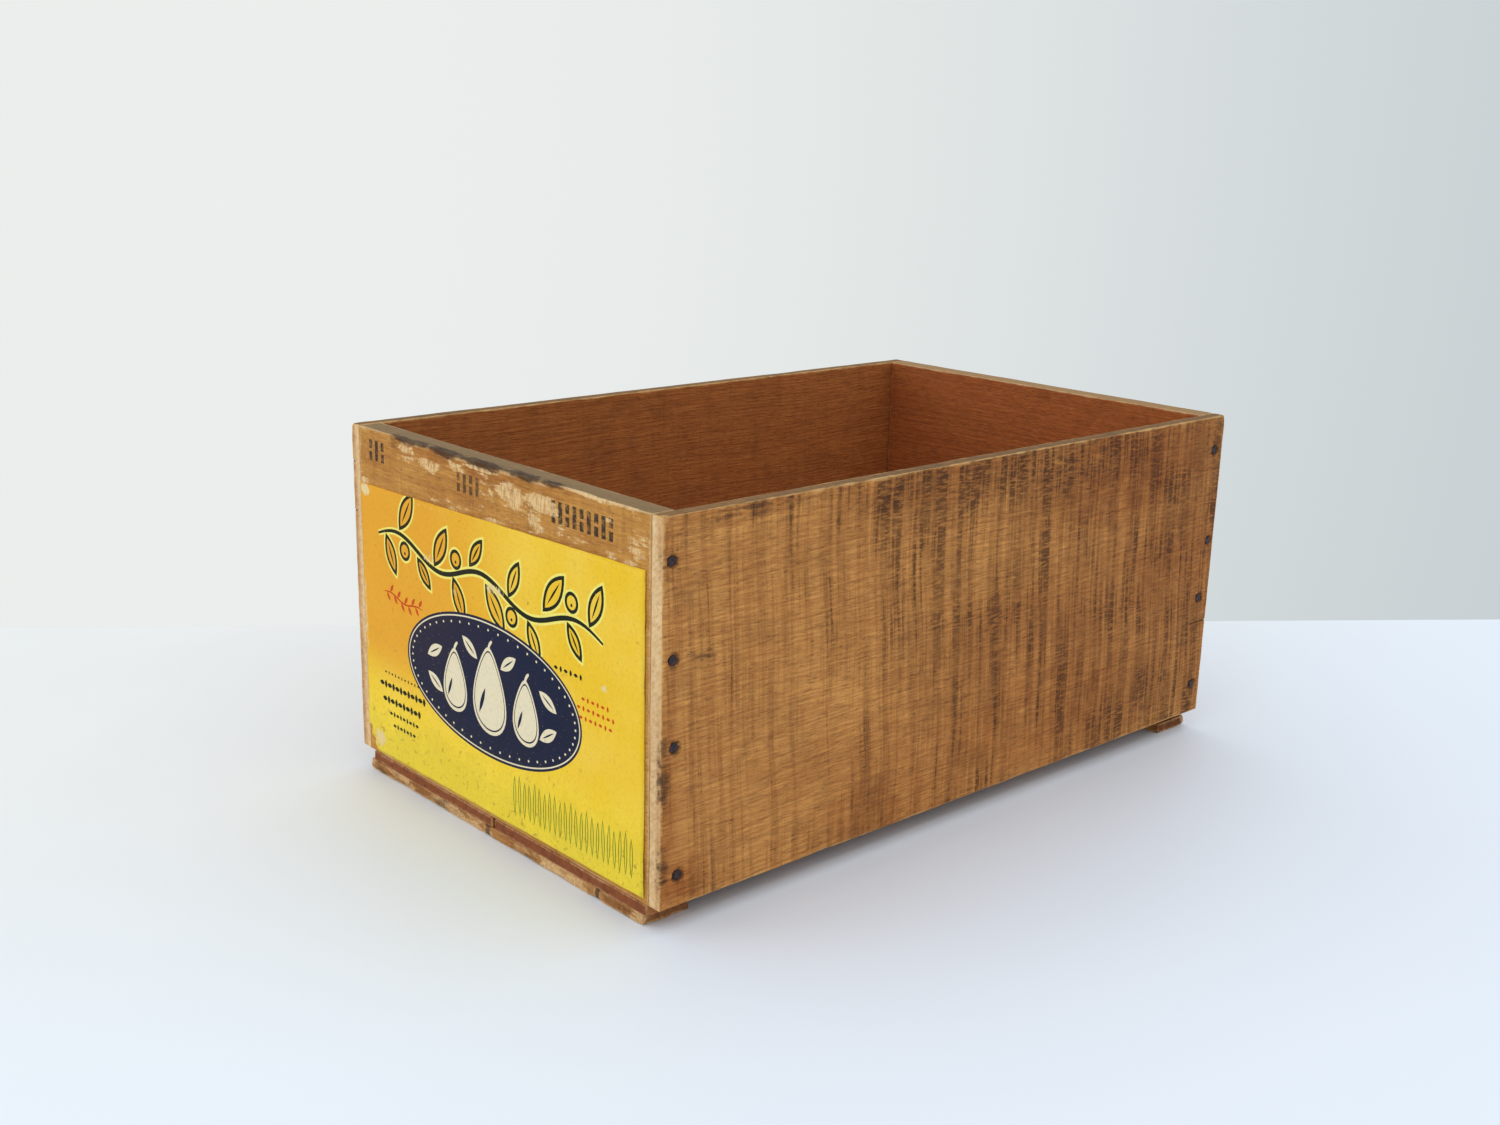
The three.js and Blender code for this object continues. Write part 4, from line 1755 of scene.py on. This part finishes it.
    def sheet(self, flat: np.ndarray, faces: list[list[int]], inks: list[int]) -> bpy.types.Mesh:
        """Gives the cut sheet its thickness, its cockles and its lifted rim.

        Args:
            flat: the points on the panel, in millimetres.
            faces: the corner numbers of each face.
            inks: the ink of each face.

        Returns:
            The mesh with its materials and masks.
        """
        across, up = flat.T
        left, right = self.low.x / MM, self.high.x / MM
        bottom, top = (edge.z / MM - self.panel_bottom / MM for edge in (self.low, self.high))
        to_rim = np.minimum(np.minimum(across - left, right - across), np.minimum(up - bottom, top - up))
        loose = smooth_step(self.noise.layered(across / 26, up / 26, 2), 0.0, 0.5)
        torn_corner = smooth_step(np.hypot(across - left, up - bottom), 26.0, 6.0)
        lifted = self.lift * smooth_step(to_rim, 5.0, 0.0) * np.maximum(loose, torn_corner)
        cockled = self.cockle * (0.5 + 0.5 * self.noise.layered(across / 22, up / 40, 3))
        back = self.low.y / MM + self.thickness - 0.1
        proud = lifted + cockled
        height = up + self.panel_bottom / MM
        front_points = np.stack([across, back - self.thickness - proud, height], 1) * MM
        back_points = front_points + np.array([0, self.thickness * MM, 0])
        count = len(flat)
        front_faces = self.facing_front(flat, faces)
        solid = [tuple(face) for face in front_faces]
        solid += [tuple(count + corner for corner in reversed(face)) for face in front_faces]
        solid += self.skirt(front_faces, count)
        mesh = bpy.data.meshes.new("printed_paper_label")
        mesh.from_pydata(np.concatenate([front_points, back_points]).tolist(), [], solid)
        slots = inks + [0] * (len(solid) - len(inks))
        for material in self.finish.materials():
            mesh.materials.append(material)
        mesh.polygons.foreach_set("material_index", slots)
        mesh.polygons.foreach_set("use_smooth", np.arange(len(solid)) < 2 * len(front_faces))
        mesh.update()
        scuff = np.zeros(count)
        as_points = np.stack([across, up, np.zeros(count)], 1)
        for patch in self.scuffs:
            scuff = np.maximum(scuff, patch.share(as_points))
        aged = smooth_step(up, 10.0, 110.0) * smooth_step(across, 120.0, -120.0)
        damp = smooth_step(up, 75.0, 0.0)
        for name, values in zip(self.MASKS, (scuff, aged, damp)):
            add_mask(mesh, name, np.tile(values, 2))
        return mesh

    def facing_front(self, flat: np.ndarray, faces: list[list[int]]) -> list[list[int]]:
        """Turns each face so that it looks out of the end panel."""
        turned = []
        for face in faces:
            a, b, c = (flat[corner] for corner in face[:3])
            area = (b[0] - a[0]) * (c[1] - a[1]) - (b[1] - a[1]) * (c[0] - a[0])
            turned.append(face if area > 0 else face[::-1])
        return turned

    def skirt(self, faces: list[list[int]], count: int) -> list[tuple[int, ...]]:
        """Closes the rim between the front and the back.

        Args:
            faces: the front faces.
            count: how many points the front has.

        Returns:
            The rim's faces.
        """
        directed = {(face[i], face[(i + 1) % len(face)]) for face in faces for i in range(len(face))}
        return [(b, a, count + a, count + b) for a, b in sorted(directed) if (b, a) not in directed]


# The crate and its studio


@dataclass
class Studio:
    """A pale table top that ends behind the crate, soft light from the left, and the camera."""

    azimuth: float = 47.672
    elevation: float = 15.263
    distance: float = 1.15928
    roll: float = 1.387
    aim: tuple[float, float, float] = (-0.04753, -0.0060, 0.12203)
    focal_length: float = 40.046
    sensor_width: float = 36.0
    table_turn: float = 53.4
    table_back: float = 0.283
    table_front: float = -1.5
    table_reach: float = 1.7
    table_thickness: float = 0.03

    def build(self) -> None:
        """Makes the table, the lights and the camera."""
        self.table()
        self.lights()
        self.room()
        self.camera()
        bpy.context.scene.view_settings.view_transform = "Standard"

    def camera(self) -> None:
        """Places the camera on its sphere around the aim, turned by its roll."""
        turn, lift, lean = (math.radians(value) for value in (self.azimuth, self.elevation, self.roll))
        back = Vector((math.sin(turn) * math.cos(lift), -math.cos(turn) * math.cos(lift), math.sin(lift)))
        level = Vector((math.cos(turn), math.sin(turn), 0.0))
        upright = back.cross(level)
        right = math.cos(lean) * level + math.sin(lean) * upright
        up = math.cos(lean) * upright - math.sin(lean) * level
        data = bpy.data.cameras.new("view")
        data.lens = self.focal_length
        data.sensor_width = self.sensor_width
        data.clip_start = 0.01
        camera = bpy.data.objects.new("view", data)
        turned = Matrix((right, up, back)).transposed().to_4x4()
        camera.matrix_world = Matrix.Translation(Vector(self.aim) + back * self.distance) @ turned
        bpy.context.scene.collection.objects.link(camera)
        bpy.context.scene.camera = camera

    def table(self) -> None:
        """Makes the pale table top that the crate stands on, with eased edges, its colour turning bluish
        towards the right as painted cool light.
        """
        form = bmesh.new()
        low = Vector((-self.table_reach, self.table_front, -self.table_thickness))
        size = Vector((2 * self.table_reach, self.table_back - self.table_front, self.table_thickness))
        turn = Matrix.Rotation(math.radians(self.table_turn), 4, "Z")
        place = turn @ Matrix.Translation(low + size / 2) @ Matrix.Diagonal((*size, 1.0))
        bmesh.ops.create_cube(form, size=1.0, matrix=place)
        bmesh.ops.bevel(form, geom=form.edges[:], offset=0.002, segments=3, profile=0.5, affect="EDGES")
        mesh = bpy.data.meshes.new("table_top")
        form.to_mesh(mesh)
        form.free()
        table = bpy.data.objects.new("table_top", mesh)
        bpy.context.scene.collection.objects.link(table)
        material, graph, shader = new_material("pale_table")
        where = graph.in_millimetres(graph.add("TexCoord").outputs["Object"])
        cloud = Blotches.patches(graph, where, 240.0, 0.3, 0.75)
        # painted cool light: the table turns bluish towards the right, standing in for cool light in the
        # crate's shade
        painted_cool_light = graph.step(graph.split(where)[0], -380.0, 260.0)
        pale = graph.mix(cloud, srgb(231, 231, 229), srgb(234, 234, 232))
        graph.set(shader.inputs["Base Color"], graph.mix(painted_cool_light, pale, srgb(232, 238, 247)))
        graph.set(shader.inputs["Roughness"], graph.times_plus(cloud, 0.05, 0.5))
        shader.inputs["Specular IOR Level"].default_value = 0.25
        mesh.materials.append(material)

    def area(self, name: str, place: tuple[float, float, float], size: float, power: float,
             colour: tuple[float, float, float]) -> None:
        """Adds one soft square light that faces the crate.

        Args:
            name: the light's name.
            place: where it stands.
            size: the length of its side.
            power: its power.
            colour: its colour.
        """
        data = bpy.data.lights.new(name, "AREA")
        data.shape = "SQUARE"
        data.size = size
        data.energy = power
        data.color = colour
        light = bpy.data.objects.new(name, data)
        light.location = place
        aim = Vector((0.0, 0.0, 0.1)) - Vector(place)
        light.rotation_euler = aim.to_track_quat("-Z", "Y").to_euler()
        bpy.context.scene.collection.objects.link(light)

    def lights(self) -> None:
        """Adds the low window on the left."""
        self.area("window", (-1.9, -2.6, 0.85), 1.5, 16.0, (1.0, 0.985, 0.955))

    def room(self) -> None:
        """Surrounds the table with a pale room, brighter above; where it is seen directly it is a pale wall
        with painted shade, darker towards the right.
        """
        world = bpy.data.worlds.new("room")
        world.use_nodes = True
        tree = world.node_tree
        graph = Graph(tree)
        tree.nodes.clear()
        left, _, up = graph.split(graph.stretch(graph.add("TexCoord").outputs["Generated"], -1.0, 1.0, 1.0))
        light = graph.mix(graph.step(up, 0.0, 1.0), srgb(192, 198, 201), srgb(247, 252, 255))
        # painted shade on the directly seen wall: darker towards the right
        backdrop_painted_shade = graph.mix(graph.step(left, 0.25, 0.9), srgb(196, 205, 209), srgb(235, 238, 236))
        lit = graph.add("Background", {"Color": light, "Strength": 1.22})
        seen = graph.add("Background", {"Color": backdrop_painted_shade, "Strength": 1.0})
        chosen = graph.add("MixShader", {0: graph.add("LightPath").outputs["Is Camera Ray"],
                                         1: lit.outputs[0], 2: seen.outputs[0]})
        output = tree.nodes.new("ShaderNodeOutputWorld")
        tree.links.new(chosen.outputs[0], output.inputs["Surface"])
        bpy.context.scene.world = world


# Each finish's inside colour darkens the inner faces, partly the wood's own tone and partly painted shade.
SIDE_FINISH = WoodFinish(
    slot="side_wood", early=srgb(233, 166, 90), late=srgb(156, 93, 43), streak=srgb(66, 36, 18),
    grime=srgb(80, 50, 32), worn=srgb(238, 190, 122), end_grain=srgb(248, 212, 158),
    end_dark=srgb(212, 160, 106), inside=srgb(205, 165, 150), rim=srgb(112, 86, 54),
    ring_width=2.4, pith_deep=-140.0, ring_strength=0.34, hair_strength=0.3,
    streak_strength=0.84, saw_relief=0.2)
END_FINISH = WoodFinish(
    slot="end_wood", early=srgb(222, 162, 76), late=srgb(172, 108, 44), streak=srgb(90, 58, 34),
    grime=srgb(48, 28, 16), worn=srgb(234, 196, 142), end_grain=srgb(230, 194, 134),
    end_dark=srgb(172, 120, 70), inside=srgb(188, 112, 80), rim=srgb(112, 98, 72),
    ring_width=3.4, pith_deep=-110.0, ring_strength=0.4, fibre_strength=0.5, hair_strength=0.28,
    streak_strength=0.3, saw_relief=0.07, roughness=0.72,
    stamps=(Stamp(-134.0, 20.5, 210.0, 13.0, 7.0, 0.5, 0.92),
            Stamp(-34.0, 25.0, 208.5, 11.5, 6.6, 0.5, 0.75),
            Stamp(60.0, 56.5, 208.5, 12.5, 6.4, 0.56, 0.92)))
FAR_END_FINISH = WoodFinish(
    slot="end_wood", early=srgb(196, 136, 72), late=srgb(150, 92, 44), streak=srgb(84, 54, 34),
    grime=srgb(76, 50, 34), worn=srgb(222, 184, 132), end_grain=srgb(232, 196, 140),
    end_dark=srgb(172, 120, 70), inside=srgb(242, 186, 170), rim=srgb(158, 126, 86),
    ring_width=3.2, pith_deep=-90.0, streak_strength=0.35, saw_relief=0.08)
FLOOR_FINISH = WoodFinish(
    slot="floor_wood", early=srgb(214, 148, 88), late=srgb(150, 88, 46), streak=srgb(62, 38, 26),
    # end_grain and end_dark here are dark reddish painted shade on the floor boards' ends
    grime=srgb(72, 46, 32), worn=srgb(214, 164, 112), end_grain=srgb(152, 84, 48),
    end_dark=srgb(98, 48, 27), inside=srgb(222, 178, 150), rim=srgb(140, 94, 62),
    ring_width=2.2, streak_strength=0.5, saw_relief=0.14)
CLEAT_FINISH = WoodFinish(
    slot="cleat_wood", early=srgb(214, 158, 92), late=srgb(158, 98, 48), streak=srgb(84, 54, 32),
    # end_grain and end_dark here are dark painted shade on the cleats' ends
    grime=srgb(88, 58, 36), worn=srgb(236, 192, 132), end_grain=srgb(160, 104, 62),
    end_dark=srgb(92, 58, 36), inside=srgb(214, 170, 130), rim=srgb(160, 120, 78),
    residue=srgb(240, 200, 144), ring_width=1.9, streak_strength=0.4, saw_relief=0.12)


def make_boards() -> list[Board]:
    """Lists the crate's eight boards with the wear of each.

    Returns:
        The boards, ready to build.
    """
    front_end = Board(
        "end_panel_front", Axis.X, Axis.Y, -1, END_FINISH, 11, ease=0.8, spacing=(1.5, 4.0, 2.0),
        cover=(0.3, 0.0, 0.1), fine_band=(66.0, 104.0),
        chips=(Patch(-78, 108, 34, 16, 1.8, -1), Patch(-30, 108, 26, 16, 2.6, -1),
               Patch(12, 108, 30, 16, 2.2, -1), Patch(46, 108, 22, 16, 1.7, -1),
               Patch(96, 108, 12, 16, 1.0, -1)),
        stains=(Patch(-84, 108, 34, 5, 0.8), Patch(-46, 108, 36, 6, 0.9), Patch(-8, 108, 34, 7, 0.85),
                Patch(30, 108, 32, 5.5, 0.85), Patch(60, 108, 22, 3.5, 0.7), Patch(-108, 104, 14, 6, 0.35)),
        toned=(Patch(-70, 104, 60, 14, 0.8), Patch(0, 103, 60, 14, 0.8), Patch(-120, 92, 34, 22, 0.45),
               Patch(-40, 84, 60, 14, 0.5), Patch(60, 106, 40, 10, 0.5), Patch(90, 80, 40, 16, 0.3)),
        scuffs=(Patch(-88, 99, 16, 9, 0.52), Patch(-62, 97, 22, 9, 0.5), Patch(-34, 99, 22, 7, 0.5),
                Patch(-6, 99, 20, 9, 0.5), Patch(21, 94, 22, 10, 0.85), Patch(50, 95, 24, 9, 0.9),
                Patch(42, 84, 22, 14, 0.55), Patch(74, 82, 26, 12, 0.42), Patch(-4, 90, 16, 10, 0.45),
                Patch(116, 98, 20, 7, 0.45), Patch(136, 92, 12, 20, 0.5), Patch(122, 76, 30, 10, 0.4),
                Patch(-142, 70, 12, 12, 0.8), Patch(104, 108, 56, 3.0, 0.85),
                Patch(-10, 103.5, 26, 2.2, 0.8), Patch(-20, 76, 110, 8, 0.3)))
    back_end = Board(
        "end_panel_back", Axis.X, Axis.Y, 1, FAR_END_FINISH, 23, ease=1.1, spacing=(2.2, 4.0, 2.0),
        cover=(0.4, 0.0, 0.1))
    right_side = Board(
        "side_panel_right", Axis.Y, Axis.X, 1, SIDE_FINISH, 31, ease=0.8, cover=(0.43, 0.36, 0.1),
        chips=(Patch(-250, 108, 9, 9, 1.8, 1), Patch(250, 108, 7, 7, 1.6, 1),
               Patch(-128, -108, 10, 9, 1.4, 1), Patch(60, -108, 16, 9, 0.8, 1)),
        stains=(Patch(-190, 104, 60, 8, 0.42, 1), Patch(-60, 100, 40, 12, 0.36, 1),
                Patch(100, 92, 60, 26, 0.3, 1), Patch(-248, -28, 7, 30, 0.6, 1),
                Patch(-248, -84, 7, 20, 0.5, 1), Patch(-246, 84, 8, 20, 0.4, 1),
                Patch(-222, 30, 24, 6, 0.45, 1)),
        toned=(Patch(-250, 108, 10, 46, 0.8), Patch(60, -20, 160, 70, 0.42, 1),
               Patch(70, -66, 200, 64, 0.62, 1), Patch(-70, -92, 110, 46, 0.55, 1),
               Patch(150, 84, 150, 60, 0.85, 1), Patch(-30, 104, 150, 26, 0.6, 1),
               Patch(-247, -50, 12, 90, 0.6, 1), Patch(-200, 106, 70, 10, 0.5, 1),
               Patch(240, -70, 30, 60, 0.4, 1), Patch(205, 10, 110, 80, 0.62, 1),
               Patch(-90, -60, 110, 40, 0.35, 1), Patch(-238, -96, 26, 24, 0.9, 1),
               Patch(250, 0, 8, 130, 0.75)),
        dense=(Patch(120, -60, 110, 90, 0.15), Patch(-20, 100, 160, 40, 0.35),
               Patch(110, 90, 120, 50, 0.35), Patch(-110, -96, 60, 30, 0.3),
               Patch(-10, 20, 130, 120, 0.24)),
        splits=(Split(250, 222, -40, 1),))
    left_side = Board(
        "side_panel_left", Axis.Y, Axis.X, -1, SIDE_FINISH, 47, ease=0.8, cover=(0.5, -0.1, 0.15),
        chips=(Patch(-250, 108, 8, 8, 1.4, -1), Patch(120, 108, 22, 9, 1.0, -1)),
        toned=(Patch(-250, 60, 8, 150, 1.0), Patch(-250, -60, 8, 150, 1.0),
               Patch(250, 0, 8, 130, 0.75), Patch(60, 0, 260, 120, 0.35, -1)),
        splits=(Split(-250, -214, 84, -1), Split(-250, -228, 52, -1), Split(250, 226, -66, -1)))
    floors = [Board(node, Axis.Y, Axis.Z, -1, FLOOR_FINISH, seed, ease=0.7, spacing=(2.6, 3.0, 2.0),
                    cover=(0.6, 0.0, 0.0), has_rim=False)
              for node, seed in (("floor_board_left", 59), ("floor_board_right", 61))]
    front_cleat = Board(
        "cleat_front", Axis.X, Axis.Z, -1, CLEAT_FINISH, 71, ease=1.0, spacing=(1.6, 1.8, 1.0),
        cover=(0.5, 0.0, 0.0), has_rim=False, worn_all_round=True, edge_waviness=2.2,
        chips=(Patch(-104, -16, 12, 9, 1.8), Patch(-60, -16, 26, 9, 1.6), Patch(-6, -16, 7, 9, 2.4),
               Patch(30, -16, 16, 9, 1.8), Patch(66, -16, 9, 9, 1.6), Patch(103, -16, 6, 9, 2.6),
               Patch(-145, -16, 9, 9, 2.2), Patch(145, -16, 9, 9, 1.4)),
        stains=(Patch(103, -16, 3, 9, 0.8), Patch(-130, -16, 14, 8, 0.5), Patch(-6, -16, 5, 9, 0.7),
                Patch(-58, -16, 20, 9, 0.36), Patch(40, -16, 14, 9, 0.36)),
        toned=(Patch(-70, -16, 90, 10, 0.6), Patch(122, -16, 16, 12, 0.6), Patch(20, -16, 30, 10, 0.4)),
        scuffs=(Patch(-36, -16, 50, 8, 0.7), Patch(70, -16, 38, 8, 0.8), Patch(-104, -16, 26, 8, 0.6),
                Patch(140, -16, 12, 8, 0.75)))
    back_cleat = Board(
        "cleat_back", Axis.X, Axis.Z, -1, CLEAT_FINISH, 83, ease=0.9, spacing=(1.6, 1.8, 1.4),
        cover=(0.5, 0.0, 0.0), has_rim=False, worn_all_round=True, edge_waviness=1.6,
        chips=(Patch(145, 16, 9, 9, 2.0), Patch(-70, 16, 30, 9, 1.2)),
        toned=(Patch(145, 0, 12, 40, 0.8), Patch(-145, 0, 12, 40, 0.8)))
    return [front_end, back_end, right_side, left_side, *floors, front_cleat, back_cleat]


def main() -> None:
    """Builds the crate around the frame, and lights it."""
    logging.basicConfig(level=logging.INFO, format="%(name)s: %(message)s")
    Studio().build()
    pieces = [board.build() for board in make_boards()]
    pieces.append(PaperLabel().build())
    pieces += WireNails().build()
    for piece in pieces:
        log.info("%s: %d faces", piece.name, len(piece.data.polygons))


if __name__ == "__main__":
    main()
